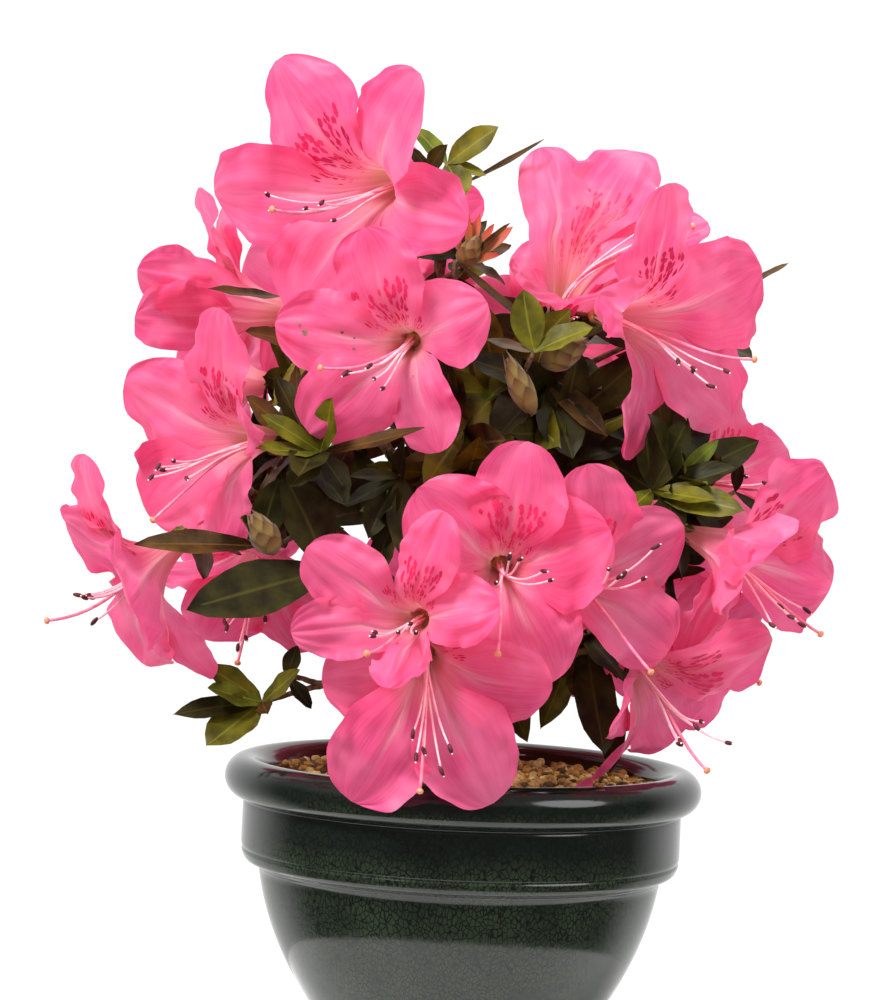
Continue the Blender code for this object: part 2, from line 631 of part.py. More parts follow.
def whorl(top, direction, count, length, tilt, space, rng):
    """Leaves set round a shoot by the golden turn, each a little lower and flatter than the one before."""
    direction = unit(direction)
    side = unit(np.cross(direction, (0.2, 0.3, 0.93)))
    up = np.cross(side, direction)
    phase = rng.uniform(0.0, 360.0)
    pieces = []
    for index in range(count):
        angle = math.radians(phase + index * GOLDEN_TURN)
        lean = math.radians(tilt + rng.uniform(-14.0, 14.0) + 3.0 * index)
        outward = math.cos(angle) * side + math.sin(angle) * up
        along = math.cos(lean) * direction + math.sin(lean) * outward
        root = top - (0.4 + 0.7 * index) * direction
        piece = leaf(root, along, direction - 0.2 * outward, length * rng.uniform(0.8, 1.12))
        if space.is_clear(piece):
            pieces.append(piece)
    return pieces


def build_mass(name, mass, space, rng, collection):
    """One mass of the crown, joined from its stem, twigs, blooms and leaves."""
    space.reserved.pop(name, None)
    path, direction = stem_route(mass)
    stem = limb(path, STEM_RADII, BOUGH_SIDES, first=direction)
    back = unit(path[-2] - path[-1])
    pieces = []
    for row in mass["blooms"]:
        pieces += bloom(row, path[-1] + rng.uniform(*TWIG_SUNK) * back, space, rng)
    for place, toward, count, length in mass["shoots"]:
        shoot = twig(path[-1] + rng.uniform(*TWIG_SUNK) * back, place, toward, TWIG_RADII, space, rng)
        if shoot is not None:
            pieces.append(shoot)
            pieces += whorl(np.array(place, float), toward, count, length, 58.0, space, rng)
    body = make_object(name, *stem, collection)
    helpers = [make_object(name + "_piece", *piece, collection) for piece in pieces]
    for helper in helpers:
        collection.objects.unlink(helper)
    apply_boolean(body, "UNION", helpers)
    finish(body, "mass")
    space.add(*mesh_in_mm(body))
    return body


def main():
    for old in list(bpy.data.objects):
        bpy.data.objects.remove(old)
    collection = bpy.data.collections.new("azalea_bonsai")
    bpy.context.scene.collection.children.link(collection)
    space = Space()

    for name, profile in (("pot", pot_profile()), ("soil", soil_profile())):
        space.add(*evaluated_in_mm(turned(name, profile, name, collection)))

    trunk = make_object("trunk", *trunk_shape(), collection)
    finish(trunk, "trunk")
    space.add(*mesh_in_mm(trunk))
    for name, mass in MASSES.items():
        path, direction = bough_route(mass)
        shape = limb(path, BOUGH_RADII, BOUGH_SIDES, last=direction)
        bough = make_object(name.replace("mass", "bough"), *shape, collection)
        cutter = make_object("trunk_cutter", *trunk_shape(GAP), collection)
        collection.objects.unlink(cutter)
        apply_boolean(bough, "DIFFERENCE", [cutter])
        finish(bough, "bough")
        space.add(*mesh_in_mm(bough))

    for name, mass in MASSES.items():
        for row in mass["blooms"]:
            flower = fitted_corolla((np.array(row[0], float),) + row[1:], row[3], space)
            if flower:
                space.reserve(name, *flower)
    for index, (name, mass) in enumerate(MASSES.items()):
        build_mass(name, mass, space, np.random.default_rng(SEED + index), collection)


main()
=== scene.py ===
import math

import bmesh
import bpy
import numpy as np
from mathutils import Matrix, Vector
from mathutils.bvhtree import BVHTree


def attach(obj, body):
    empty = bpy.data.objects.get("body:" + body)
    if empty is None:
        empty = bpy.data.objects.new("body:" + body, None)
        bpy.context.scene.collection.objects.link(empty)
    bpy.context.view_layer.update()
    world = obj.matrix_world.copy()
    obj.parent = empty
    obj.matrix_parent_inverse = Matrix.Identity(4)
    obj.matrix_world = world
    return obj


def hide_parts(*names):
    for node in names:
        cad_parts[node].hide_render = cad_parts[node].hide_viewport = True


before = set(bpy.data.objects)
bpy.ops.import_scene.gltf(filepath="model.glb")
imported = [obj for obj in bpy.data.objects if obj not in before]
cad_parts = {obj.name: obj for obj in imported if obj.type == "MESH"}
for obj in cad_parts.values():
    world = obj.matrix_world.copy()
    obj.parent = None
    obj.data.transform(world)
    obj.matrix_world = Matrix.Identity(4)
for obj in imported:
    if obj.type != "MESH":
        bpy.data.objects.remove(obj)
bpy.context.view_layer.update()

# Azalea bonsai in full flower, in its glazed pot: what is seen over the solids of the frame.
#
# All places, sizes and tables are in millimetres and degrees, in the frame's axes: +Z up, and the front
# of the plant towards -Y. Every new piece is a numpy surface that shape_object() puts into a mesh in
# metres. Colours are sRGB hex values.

MM = 0.001
SEED = 7
SAME_POINT = 0.002      # points nearer than this become one

# Camera, matched to the rim and the sides of the photographed pot
CAMERA_PLACE = (-10.0, -900.0, 177.0)
CAMERA_DOWN = 1.4
CAMERA_ROLL = 2.4
PHOTO_WIDTH, PHOTO_HEIGHT = 878, 1000
FOCAL_PIXELS = 3214.0
CAMERA_TURN = (Matrix.Rotation(math.radians(90 - CAMERA_DOWN), 3, "X")
               @ Matrix.Rotation(math.radians(CAMERA_ROLL), 3, "Z"))

# Pot and soil, as in the solids
POT_HEIGHT = 82.0
RIM_RADIUS = 67.0
RIM_ROLL = 5.75
COLLAR_RADIUS = 61.6
COLLAR_BOTTOM = 52.0
BOWL_RADIUS = 56.5
FOOT_RADIUS = 36.0
FOOT_HEIGHT = 5.5
WALL = 5.0
POT_STEPS = 192         # points once round the pot
POT_WANDER = 0.18       # how far the thrown wall wanders
FLOOR = 6.0             # inner floor of the pot over its foot
SOIL_LEVEL = 76.0
SOIL_MOUND = 1.2
MOUND_RADIUS = 17.0
SOIL_RADIUS = RIM_RADIUS - 2 * RIM_ROLL - 0.5

# Trunk, boughs and twigs, as in the solids
TRUNK_PATH = ((-8, 4, 77.0), (-7, 4.5, 82), (-5.5, 6, 96), (-8, 7, 116), (-7, 6, 138), (-3, 4, 158),
              (-3, 2, 174))
TRUNK_RADII = (11.0, 8.2, 6.6, 5.6, 4.7, 3.9, 3.1)
ROOT_FLARE = 0.28
ROOTS = 5
TRUNK_ROWS = 150
TRUNK_COLUMNS = 72
BOUGH_SHARE = 0.62
BOUGH_RADII = (2.6, 2.3, 2.0, 1.7)
STEM_RADII = (1.7, 1.5, 1.3)
TWIG_RADII = (1.0, 0.85, 0.75, 0.65)
GOLDEN_TURN = 137.5
BOUGH_STEPS = np.linspace(0, 1, 24)
TWIG_STEPS = np.linspace(0, 1, 14)
TWIG_SUNK = (0.6, 3.0)          # how far a twig starts inside its stem
SIDE_TWIG = 9.0                 # length of the twig that leaves a shoot halfway

# Petals, measured on a bloom of size 1. A point of a petal lies at u from -1 to 1 across it, and at v from
# 0 to 1 along it. Two values in brackets are the least and the most that a petal can get.
PETALS = 5
PETAL_REACH = 52.0
PETAL_WIDTH = 28.0
PETAL_ARC = 40.0        # radius that an open petal is curved to across
NOTCH = 0.42            # v where neighbouring petals part
LOBE_WIDEST = 0.42      # share of the lobe past the notch where it is widest
TUBE_SLOPE = 14.0
TUBE_FOOT = (2.0, -9.0) # radius of the tube's foot, and its height over the throat
LAP = 1.3               # how far an edge rides over its neighbour
TIP_CURL = (2.0, 26.0)  # degrees that a tip curls back past the petal's spread
PETAL_CUP = (-1.4, 2.8)
RUFFLE = (1.2, 2.6)
RUFFLE_POWER = 2.6      # of u, so that only the margin ruffles
TWIST = 2.2
UNDULATION = 1.1
CREASE = 0.35
FURROW = 0.75
SIDE_VIEW_STEPS = 120
EVEN = ((82, 0.95, 1.1, 0),) * PETALS       # petals of a bloom at the back
SHORTER = (1.0, 0.93, 0.86, 0.79, 0.72, 0.65, 0.58, 0.5)    # lengths tried where a petal cuts another

# Spots: their petal, how many, from and to in u, and how far they reach in v
SPOTTED = ((0, 120, -0.66, 0.66, 0.64), (1, 16, -0.95, -0.45, 0.46), (4, 16, 0.45, 0.95, 0.46))
SPOT_RISE = 0.12        # over the petal's inner side
# Dry scars on the second bloom of the table: their petal, their place in u and v, and their half length
SCARRED = 1
SCARS = ((4, -0.07, 0.80, 0.022), (4, 0.10, 0.84, 0.012), (4, 0.10, 0.58, 0.012), (4, 0.0, 0.50, 0.010),
         (4, -0.32, 0.50, 0.011), (4, -0.40, 0.53, 0.010), (2, 0.80, 0.55, 0.010), (2, 0.88, 0.60, 0.012),
         (2, 0.18, 0.44, 0.012))
SCAR_ROUND = 3.6        # half width in u over half length in v

# Stamens, pistil, cup and stalk, on a bloom of size 1
STAMENS = 5
STAMEN_POINTS = 16
STAMEN_REACH = 33.0
PISTIL_REACH = 39.0
STAMEN_FAN = 0.13       # sideways lean from one stamen to the next
STAMEN_SAG, STAMEN_LIFT = 0.07, 0.09        # shares of the reach: halfway, and at the tip
PLAIN_LEAN = ((0.0, -0.2), (0.0, -0.3))     # of a bloom that LEANS doesn't list
FILAMENT_RADII = (0.42, 0.26)
STYLE_RADII = (0.55, 0.40)
ANTHER_LENGTH = 3.0
ANTHER_RADIUS = 0.62
PORE_LENGTH, PORE_RADIUS = 0.5, 0.24
STIGMA_LENGTH, STIGMA_RADIUS = 1.5, 1.0
CUP_DEPTH = 10.0        # from the throat down to the cup that holds the tube
CUP_LENGTH = 5.0
CUP_RADIUS = 2.4
SEPAL_LENGTH, SEPAL_WIDTH = 6.0, 2.6
STALK_RADIUS = 0.75
STALK_LENGTH = 9.0      # from the cup to the twig's tip, the same at every size

# Leaves: widths and droops as shares of their length, and how many are dark, olive, bronze and young
LEAF_SHAPE = (0.30, 0.42)
LEAF_DROOP = (-0.02, 0.24)
SHOWN_DROOP = (-0.06, 0.06)
LEAF_SHARES = (0.52, 0.23, 0.23, 0.02)

# The whorl at a bloom's foot, with shorter leaves on blooms above the crown's top
FOOT_RISE = 4.0                 # from the stalk's foot up to its whorl
FOOT_LEAVES, FOOT_LEAF, FOOT_TILT = 4, 20.0, 76.0
CROWN_TOP, TOP_LEAF = 232.0, 11.0

# A shoot's own whorl, the tuft of young leaves at its tip, and the whorl on its side twig; the last two
# have their number of leaves, their length as a share of the shoot's, and their tilt
SHOOT_TILT = 56.0
TUFT_LEAVES, TUFT_LEAF, TUFT_TILT = 3, 0.45, 22.0
SIDE_LEAVES, SIDE_LEAF, SIDE_TILT = 5, 0.8, 60.0

# Buds, and the grains on the soil
BUD_SCALES = 18
GRAINS = 1500
LOOSE_GRAINS = 260
GRAIN_SIZE = (2.1, 4.0)
GRAVEL_RADIUS = SOIL_RADIUS - 1.2
TRUNK_CLEAR = 9.5       # no grain nearer than this to the middle of the trunk's foot

# Studio: each lamp's place in metres, its size and its power in watts
LIGHTS = (("key_light", (-0.9, -1.0, 1.5), 0.6, 50.0),
          ("fill_light", (1.2, -0.8, 0.9), 1.0, 10.0),
          ("top_light", (0.1, 0.5, 1.7), 0.9, 14.0))
LIT_POINT = (0.0, 0.0, 150.0)
FLOOR_RADIUS = 94.0     # the glaze mirrors the floor's edge across the lower bowl
FLOOR_STEPS, FLOOR_RINGS = 96, 7            # points once round, and rings from the middle out
SOFT_LIGHT = 0.70       # what matt surfaces get from the white surroundings
DOME_LIGHT = 0.36       # what glossy ones mirror from above, and from the front at eye level
EYE_LEVEL_LIGHT = 0.10
BACKDROP_LIGHT = 1.05   # as the camera sees it: a little over white
SENSOR_WIDTH = 36.0

# Leaves that the photograph shows one by one: the mass whose twig carries them, the twig's end, and each
# leaf as its tip, its width and its kind. A place is a column and a row of the 878 by 1000 picture, and
# the depth in mm from the pot's middle, towards the camera where it is negative.
LEAVES_IN_VIEW = (
    ("mass_top_front", (447, 164, -9), ((497, 125, -14, 8, "olive"), (417, 127, -8, 6, "young"),
        (464, 194, -18, 8, "olive"), (486, 173, -12, 4, "olive"))),
    ("mass_top_front", (463, 184, -9), ((546, 145, -2, 2, "bronze"),)),
    ("mass_top_front", (468, 262, -22), ((471, 208, -24, 2, "bract"), (480, 214, -22, 3, "bract"),
        (497, 226, -24, 3, "bract"), (513, 226, -22, 4, "bract"), (500, 256, -28, 3, "bract"),
        (510, 220, -30, 2, "bronze"), (451, 232, -26, 3, "bract"))),
    ("mass_centre", (455, 260, -26), ((536, 334, -34, 3, "bronze"),)),
    ("mass_left_high", (283, 297, -24), ((212, 296, -42, 5, "bronze"),)),
    ("mass_left_high", (299, 341, -32), ((246, 335, -46, 6, "bronze"),)),
    ("mass_left_high", (320, 452, -50), ((263, 411, -58, 6, "olive"), (258, 452, -62, 7, "olive"),
        (338, 400, -60, 8, "olive"), (424, 436, -64, 5, "bronze"), (347, 494, -50, 8, "dark"),
        (292, 488, -54, 9, "dark"))),
    ("mass_left_low", (328, 570, -42), ((187, 607, -58, 15, "dark"), (289, 470, -48, 14, "dark"))),
    ("mass_left_low", (258, 546, -44), ((135, 540, -60, 7, "bronze"), (240, 516, -52, 8, "olive"),
        (278, 478, -46, 9, "dark"))),
    ("mass_right", (652, 490, -34), ((745, 509, -46, 9, "olive"), (738, 472, -38, 8, "dark"),
        (642, 411, -36, 7, "dark"), (691, 419, -38, 9, "dark"), (622, 517, -44, 7, "olive"),
        (716, 502, -46, 6, "olive"))),
    ("mass_top_right", (708, 338, -2), ((755, 359, -12, 7, "dark"),)),
    ("mass_top_right", (735, 290, 0), ((790, 265, 2, 3, "bronze"),)),
    ("mass_right", (735, 492, 2), ((739, 457, -8, 4, "dark"), (825, 558, 2, 5, "dark"))),
    ("mass_front", (586, 636, -32), ((599, 757, -42, 12, "dark"), (629, 676, -48, 11, "dark"))),
    ("mass_front", (606, 690, -28), ((614, 769, -34, 8, "dark"),)),
    ("mass_centre", (545, 380, -34), ((612, 432, -40, 7, "bronze"), (500, 442, -42, 14, "dark"),
        (468, 366, -36, 10, "dark"), (575, 458, -40, 13, "dark"))),
    ("mass_centre", (534, 352, -50), ((592, 324, -55, 8, "olive"), (520, 290, -50, 9, "olive"),
        (487, 338, -46, 4, "bronze"))),
    ("mass_low_spray", (262, 702, -16), ((172, 710, -22, 7, "dark"), (208, 747, -26, 12, "olive"),
        (206, 661, -20, 9, "olive"), (209, 690, -26, 8, "young"), (299, 671, -22, 7, "olive"),
        (268, 715, -22, 5, "bronze"))),
    ("mass_low_spray", (287, 677, -14), ((296, 645, -15, 5, "dark"), (312, 708, -16, 5, "dark"))),
    ("mass_front", (318, 600, -32), ((298, 632, -36, 6, "dark"),)),
    ("mass_left_low", (400, 476, -34), ((344, 506, -42, 6, "dark"), (365, 535, -44, 9, "dark"),
        (350, 480, -42, 5, "dark"), (408, 556, -48, 9, "dark"))))

# Buds: foot and tip, placed in the same way, and radius
BUDS = (((460, 268, -22), (482, 232, -26), 2.8), ((540, 364, -42), (592, 338, -48), 4.0),
        ((534, 416, -44), (503, 348, -52), 3.0), ((276, 554, -46), (248, 508, -54), 3.6))

# Every mass: the height on the trunk where its bough starts, its middle, its blooms and its leafy shoots.
# A bloom is its throat, the way it faces (degrees to the right of the front, degrees up), the roll of its
# spotted petal, its size, and its petals clockwise from the spotted one as (spread from the axis, length,
# width, turn). A shoot is its place, its direction, its number of leaves and their length.
MASSES = {
    "mass_top_front": {
        "fork": 172, "middle": (-13, -14, 214),
        "blooms": (
            ((-27, -35, 240), (-38, -14), -25, 1.10,
             ((88, 0.98, 1.2, -8), (80, 1.0, 0.84, -4), (80, 0.88, 0.78, -16), (78, 0.95, 0.95, 24),
              (85, 1.07, 0.96, 8))),
            ((-20, -50, 197.5), (-10, -8), -8, 0.88,
             ((95, 0.92, 1.0, -12), (95, 0.69, 1.0, -2), (90, 0.84, 0.74, 23), (90, 0.97, 1.05, 17),
              (95, 0.98, 0.96, -2)))),
        "shoots": (((-9, -1, 238), (0.5, 0.2, 1.0), 5, 8), ((-3, -8, 224), (0.5, -0.5, 0.7), 5, 15))},
    "mass_top_right": {
        "fork": 160, "middle": (18, -5, 188),
        "blooms": (
            ((22.5, -10, 214), (12, 50), 8, 1.02,
             ((75, 1.14, 0.88, 23), (70, 1.0, 1.0, 0), (46, 0.5, 0.8, 0), (60, 0.52, 0.8, 10),
              (72, 1.02, 0.68, 56))),
            ((38, -30, 206.5), (45, -5), -5, 1.08,
             ((75, 0.95, 0.88, -12), (80, 0.95, 1.05, -4), (80, 0.92, 1.05, -11), (85, 0.88, 0.48, -20),
              (66, 0.75, 0.55, 0)))),
        "shoots": (((20, -18, 199), (0.0, -0.7, 0.5), 7, 24),)},
    "mass_left_low": {
        "fork": 120, "middle": (-42, -6, 148),
        "blooms": (
            ((-83, -35, 139), (-55, -35), 4, 0.98,
             ((95, 0.95, 0.72, 0), (50, 1.0, 1.15, 4), (95, 0.94, 0.42, 27), (85, 0.93, 1.05, -5),
              (80, 0.76, 1.2, 9))),
            ((-60, 15, 139), (-15, -50), 5, 0.95, ((60, 0.8, 1.0, 0),) * 5)),
        "shoots": (((-52, -18, 146), (-0.6, -0.3, -0.5), 4, 24),
                   ((-44, -18, 154), (-0.1, -0.5, -0.2), 4, 22))},
    "mass_left_high": {
        "fork": 148, "middle": (-36, -8, 180),
        "blooms": (
            ((-58, 5, 206), (-68, 2), 0, 1.0,
             ((60, 0.94, 0.9, -8), (18, 1.12, 0.75, -4), (18, 1.15, 0.78, -38), (50, 0.7, 0.9, 0),
              (84, 0.88, 1.1, 30))),
            ((-60.5, -35, 170), (-45, -5), 4, 1.0,
             ((78, 0.96, 0.92, 9), (48, 0.8, 0.7, -16), (80, 0.75, 0.62, 36), (78, 0.88, 0.92, 13),
              (80, 0.95, 0.98, 4)))),
        "shoots": (((-44, -44, 169), (0.1, -0.6, 0.7), 7, 26), ((-48, 2, 196), (-0.8, -0.5, 0.1), 5, 24))},
    "mass_front": {
        "fork": 108, "middle": (-4, -26, 134),
        "blooms": (
            ((-14.5, -74.5, 126), (-18, 0), 5, 0.80,
             ((80, 0.98, 0.75, 16), (80, 0.82, 0.85, 0), (42, 0.72, 0.7, 34), (80, 0.96, 0.76, 40),
              (76, 1.0, 0.92, 12))),
            ((7, -60, 139.5), (2, -5), 8, 0.92,
             ((90, 0.95, 1.0, 0), (85, 0.82, 1.3, -14), (88, 0.87, 1.05, 0), (85, 0.6, 1.0, 0),
              (88, 0.85, 1.2, 16))),
            ((-11.5, -66, 114.5), (3, -12), 2, 1.05,
             ((84, 0.6, 0.9, 28), (85, 0.78, 0.82, 22), (88, 0.94, 0.95, 5), (88, 0.94, 0.95, -10),
              (88, 0.82, 0.85, -30))),
            ((26, -50, 137.5), (32, -8), 0, 0.98,
             ((85, 0.98, 0.85, -12), (80, 0.8, 0.9, -14), (80, 0.8, 0.92, -20), (40, 0.65, 0.8, 14),
              (80, 0.8, 1.0, 0)))),
        "shoots": (((-22, -30, 154), (-0.5, -0.5, 0.3), 6, 28), ((33, -28, 118), (0.0, -0.2, -1.0), 4, 34))},
    "mass_right": {
        "fork": 126, "middle": (36, -9, 142),
        "blooms": (
            ((64.5, -30, 147), (50, -16), 38, 1.06,
             ((76, 0.84, 1.05, 2), (76, 0.92, 1.0, -8), (92, 0.76, 0.8, 16), (32, 0.68, 0.8, 2),
              (30, 0.82, 0.8, -24))),
            ((46, -35, 113), (45, -35), 50, 0.98,
             ((80, 0.9, 1.15, 4), (80, 0.69, 1.05, 12), (95, 0.96, 0.35, 0), (55, 0.65, 0.7, -20),
              (60, 0.6, 0.7, -20)))),
        "shoots": (((55, -32, 165), (0.4, -0.6, 0.5), 7, 32), ((45, -25, 174), (-0.2, -0.5, 0.8), 5, 28))},
    "mass_centre": {
        "fork": 142, "middle": (4, -16, 168),
        "blooms": (),
        "shoots": (((5, -24, 186), (-0.3, -0.8, 0.2), 7, 34), ((22, -28, 176), (0.4, -0.8, 0.0), 7, 34),
                   ((-7, -26, 171), (-0.4, -0.7, 0.1), 6, 32), ((12, -20, 194), (0.1, -0.5, 0.8), 5, 22))},
    "mass_low_spray": {
        "fork": 96, "middle": (-38, -8, 103),
        "blooms": (),
        "shoots": ()},
    "mass_back_top": {
        "fork": 166, "middle": (-17, 34, 204),
        "blooms": (
            ((-21, 24, 224), (-24, 4), 6, 0.68, EVEN),
            ((-36, 50, 212), (-150, 10), 0, 0.9, EVEN),
            ((-26, 50, 231), (178, 30), 0, 0.72, EVEN)),
        "shoots": (((-34, 22, 216), (-0.7, 0.1, 0.6), 6, 25), ((-4, 34, 214), (0.3, 0.6, 0.7), 6, 26),
                   ((-22, 12, 218), (-0.3, 0.3, 0.9), 6, 20))},
    "mass_back_right_high": {
        "fork": 154, "middle": (26, 36, 180),
        "blooms": (
            ((18.5, 30, 200), (5, 20), 0, 0.8, EVEN),
            ((46, 46, 206), (140, 15), 0, 0.95, EVEN),
            ((64.5, 20, 163), (40, 10), 0, 0.72, EVEN)),
        "shoots": (((50, 18, 186), (0.8, 0.2, 0.4), 7, 28), ((28, 45, 184), (0.3, 0.8, 0.1), 6, 28))},
    "mass_back_left": {
        "fork": 136, "middle": (-38, 24, 162),
        "blooms": (
            ((-63, 34, 186), (-115, 0), 0, 0.82, EVEN),
            ((-64, 44, 158), (-140, -8), 20, 0.85, EVEN)),
        "shoots": (((-46, 46, 178), (-0.5, 0.8, 0.3), 6, 27), ((-62, 18, 166), (-1.0, 0.0, 0.1), 6, 26),
                   ((-34, 18, 188), (-0.3, 0.3, 0.9), 7, 26))},
    "mass_back": {
        "fork": 130, "middle": (2, 34, 158),
        "blooms": (
            ((8, 72, 182), (175, 5), 0, 0.95, EVEN),
            ((0, 70, 142), (185, -10), 36, 0.9, EVEN)),
        "shoots": (((-20, 52, 172), (-0.5, 0.8, 0.2), 6, 28), ((22, 56, 160), (0.5, 0.8, 0.1), 6, 28))},
    "mass_back_right_low": {
        "fork": 114, "middle": (28, 28, 140),
        "blooms": (
            ((50, 58, 160), (145, -5), 0, 0.92, EVEN),
            ((42, 55, 126), (145, -25), 0, 0.82, EVEN),
            ((59, 24, 122), (108, -20), 0, 0.85, EVEN)),
        "shoots": (((58, 32, 144), (0.9, 0.3, 0.1), 6, 27), ((30, 36, 112), (0.3, 0.5, -0.7), 5, 28))},
    "mass_back_low": {
        "fork": 101, "middle": (-10, 30, 116),
        "blooms": (((-10, 56, 112), (180, -35), 0, 0.8, EVEN),),
        "shoots": (((-28, 38, 122), (-0.8, 0.5, 0.1), 6, 25), ((8, 36, 106), (0.5, 0.5, -0.3), 5, 24))},
}

# How the stamens, then the pistil, lean off the axis of a bloom that shows them: to its right, and up
LEANS = {
    "mass_top_front": (((-0.10, -0.05), (-0.12, -0.08)), ((-0.25, -0.40), (-0.60, -0.25))),
    "mass_top_right": (((1.1, -0.1), (1.3, -0.1)), ((-0.10, -0.40), (0.20, -0.25))),
    "mass_left_low": (((0.0, 0.0), (-0.10, 0.0)), ((0.0, -0.2), (0.0, -0.3))),
    "mass_left_high": (((-0.1, -0.2), (0.0, -0.3)), ((0.0, -0.30), (-0.20, -0.75))),
    "mass_front": (((0.10, -0.15), (-0.10, -0.35)), ((0.15, 0.05), (-0.05, -0.75)),
                   ((0.0, -0.75), (-0.05, -1.05)), ((-0.05, 0.25), (0.25, -0.75))),
    "mass_right": (((-0.10, -0.42), (0.12, -0.42)), ((-0.20, 0.0), (-0.10, -0.20))),
}


def unit(v):
    """A vector, or each vector of an array, at length 1."""
    v = np.asarray(v, float)
    return v / np.linalg.norm(v, axis=-1, keepdims=True)


def ramp(x, low, high):
    """Smooth step: 0 below low, 1 above high, and t*t*(3 - 2t) between them."""
    t = np.clip((x - low) / (high - low), 0.0, 1.0)
    return t * t * (3 - 2 * t)


def spun(angle, first, second):
    """Direction at an angle from the first towards the second, which stands square to it."""
    return np.cos(angle)[..., None] * first + np.sin(angle)[..., None] * second


def bezier(start, middle, end, t):
    """Quadratic curve that leaves start towards middle and arrives at end from it."""
    start, middle, end = (np.asarray(p, float) for p in (start, middle, end))
    t = np.asarray(t, float)[:, None]
    return (1 - t) ** 2 * start + 2 * t * (1 - t) * middle + t ** 2 * end


def grid_faces(rows, columns, closed=False):
    """Corners of each cell of a grid; a closed grid joins its last column to its first."""
    across = columns if closed else columns - 1
    row, column = np.meshgrid(np.arange(rows - 1), np.arange(across), indexing="ij")
    after = (column + 1) % columns
    return np.stack([row * columns + column, row * columns + after, (row + 1) * columns + after,
                     (row + 1) * columns + column], axis=-1).reshape(-1, 4)


def shape_object(name, grids, finish, place=None, flush=None, closed=False):
    """One mesh from many equal grids: points (grids, rows, columns, 3) in millimetres.

    Each cell of a grid is a quad. place holds two numbers for each point, which go into the UV map
    "place", and flush one, which goes into the attribute "flush". Points that meet, as at a pole or where
    two petals join in a tube, become one.
    """
    grids = np.asarray(grids, float)
    count, rows, columns = grids.shape[:3]
    corners = (np.arange(count)[:, None, None] * rows * columns
               + grid_faces(rows, columns, closed)).reshape(-1)
    faces = len(corners) // 4
    mesh = bpy.data.meshes.new(name)
    mesh.vertices.add(count * rows * columns)
    mesh.vertices.foreach_set("co", (grids * MM).reshape(-1))
    mesh.loops.add(4 * faces)
    mesh.loops.foreach_set("vertex_index", corners.astype(np.int32))
    mesh.polygons.add(faces)
    mesh.polygons.foreach_set("loop_start", np.arange(0, 4 * faces, 4, dtype=np.int32))
    if place is not None:
        place = np.broadcast_to(np.asarray(place, float), grids.shape[:3] + (2,))
        layer = mesh.uv_layers.new(name="place")
        layer.uv.foreach_set("vector", place.reshape(-1, 2)[corners].reshape(-1).astype(np.float32))
    if flush is not None:
        values = mesh.attributes.new("flush", "FLOAT", "POINT")
        values.data.foreach_set("value", np.asarray(flush, float).reshape(-1).astype(np.float32))
    mesh.update(calc_edges=True)
    shape = bmesh.new()
    shape.from_mesh(mesh)
    bmesh.ops.remove_doubles(shape, verts=shape.verts, dist=SAME_POINT * MM)
    shape.to_mesh(mesh)
    shape.free()
    mesh.shade_smooth()
    mesh.materials.append(finish)
    piece = bpy.data.objects.new(name, mesh)
    bpy.context.scene.collection.objects.link(piece)
    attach(piece, "root")
    return piece


def tubes(paths, radii, sides, relief=None):
    """Round limbs with closed ends: paths (limbs, points, 3), and a radius for each point.

    A ring square to the path stands at each point; its side vector is carried along the path by taking
    away the part that lies along the tangent. The first and last ring shrink to the path's ends.
    """
    paths = np.asarray(paths, float)
    limbs, points = paths.shape[:2]
    radii = np.broadcast_to(np.asarray(radii, float), (limbs, points))
    tangent = unit(np.gradient(paths, axis=1))
    side = unit(np.cross(tangent[:, 0], (0.31, 0.87, 0.38)))
    sides_along = []
    for i in range(points):
        side = unit(side - (side * tangent[:, i]).sum(-1, keepdims=True) * tangent[:, i])
        sides_along.append(side)
    right = np.stack(sides_along, axis=1)[:, :, None]
    up = np.cross(tangent[:, :, None], right)
    angle = np.arange(sides) * 2 * math.pi / sides
    reach = radii[..., None] * np.ones(sides)
    if relief is not None:
        reach = reach * relief
    rings = paths[:, :, None] + reach[..., None] * spun(angle, right, up)
    first, last = (np.repeat(paths[:, i, None, None], sides, axis=2) for i in (0, -1))
    return np.concatenate([first, rings, last], axis=1)


def limb_grids(paths, radii, sides, rough, rng):
    """Limbs whose radius runs evenly through the given values, uneven by a small share at each point."""
    paths = np.asarray(paths, float)
    limbs, points = paths.shape[:2]
    radius = np.interp(np.linspace(0, 1, points), np.linspace(0, 1, len(radii)), radii)
    return tubes(paths, radius, sides, relief=1 + rough * rng.normal(0, 1, (limbs, points, sides)))


def search_tree(grid):
    """Search tree of a grid's surface, which finds the surfaces that it cuts."""
    return BVHTree.FromPolygons(grid.reshape(-1, 3).tolist(), grid_faces(*grid.shape[:2]).tolist())


def cuts(own, trees):
    """Whether the surface of a search tree cuts one of the others'."""
    return any(own.overlap(tree) for tree in trees)


# Blooms

def bloom_axes(facing):
    """Axis out of the bloom's mouth, and its own right and up as the front view sees them."""
    right_turn, rise = (math.radians(angle) for angle in facing)
    axis = np.array((math.sin(right_turn) * math.cos(rise), -math.cos(right_turn) * math.cos(rise),
                     math.sin(rise)))
    up = unit(np.array((0.0, 0.0, 1.0)) - axis[2] * axis)
    return axis, np.cross(up, axis), up


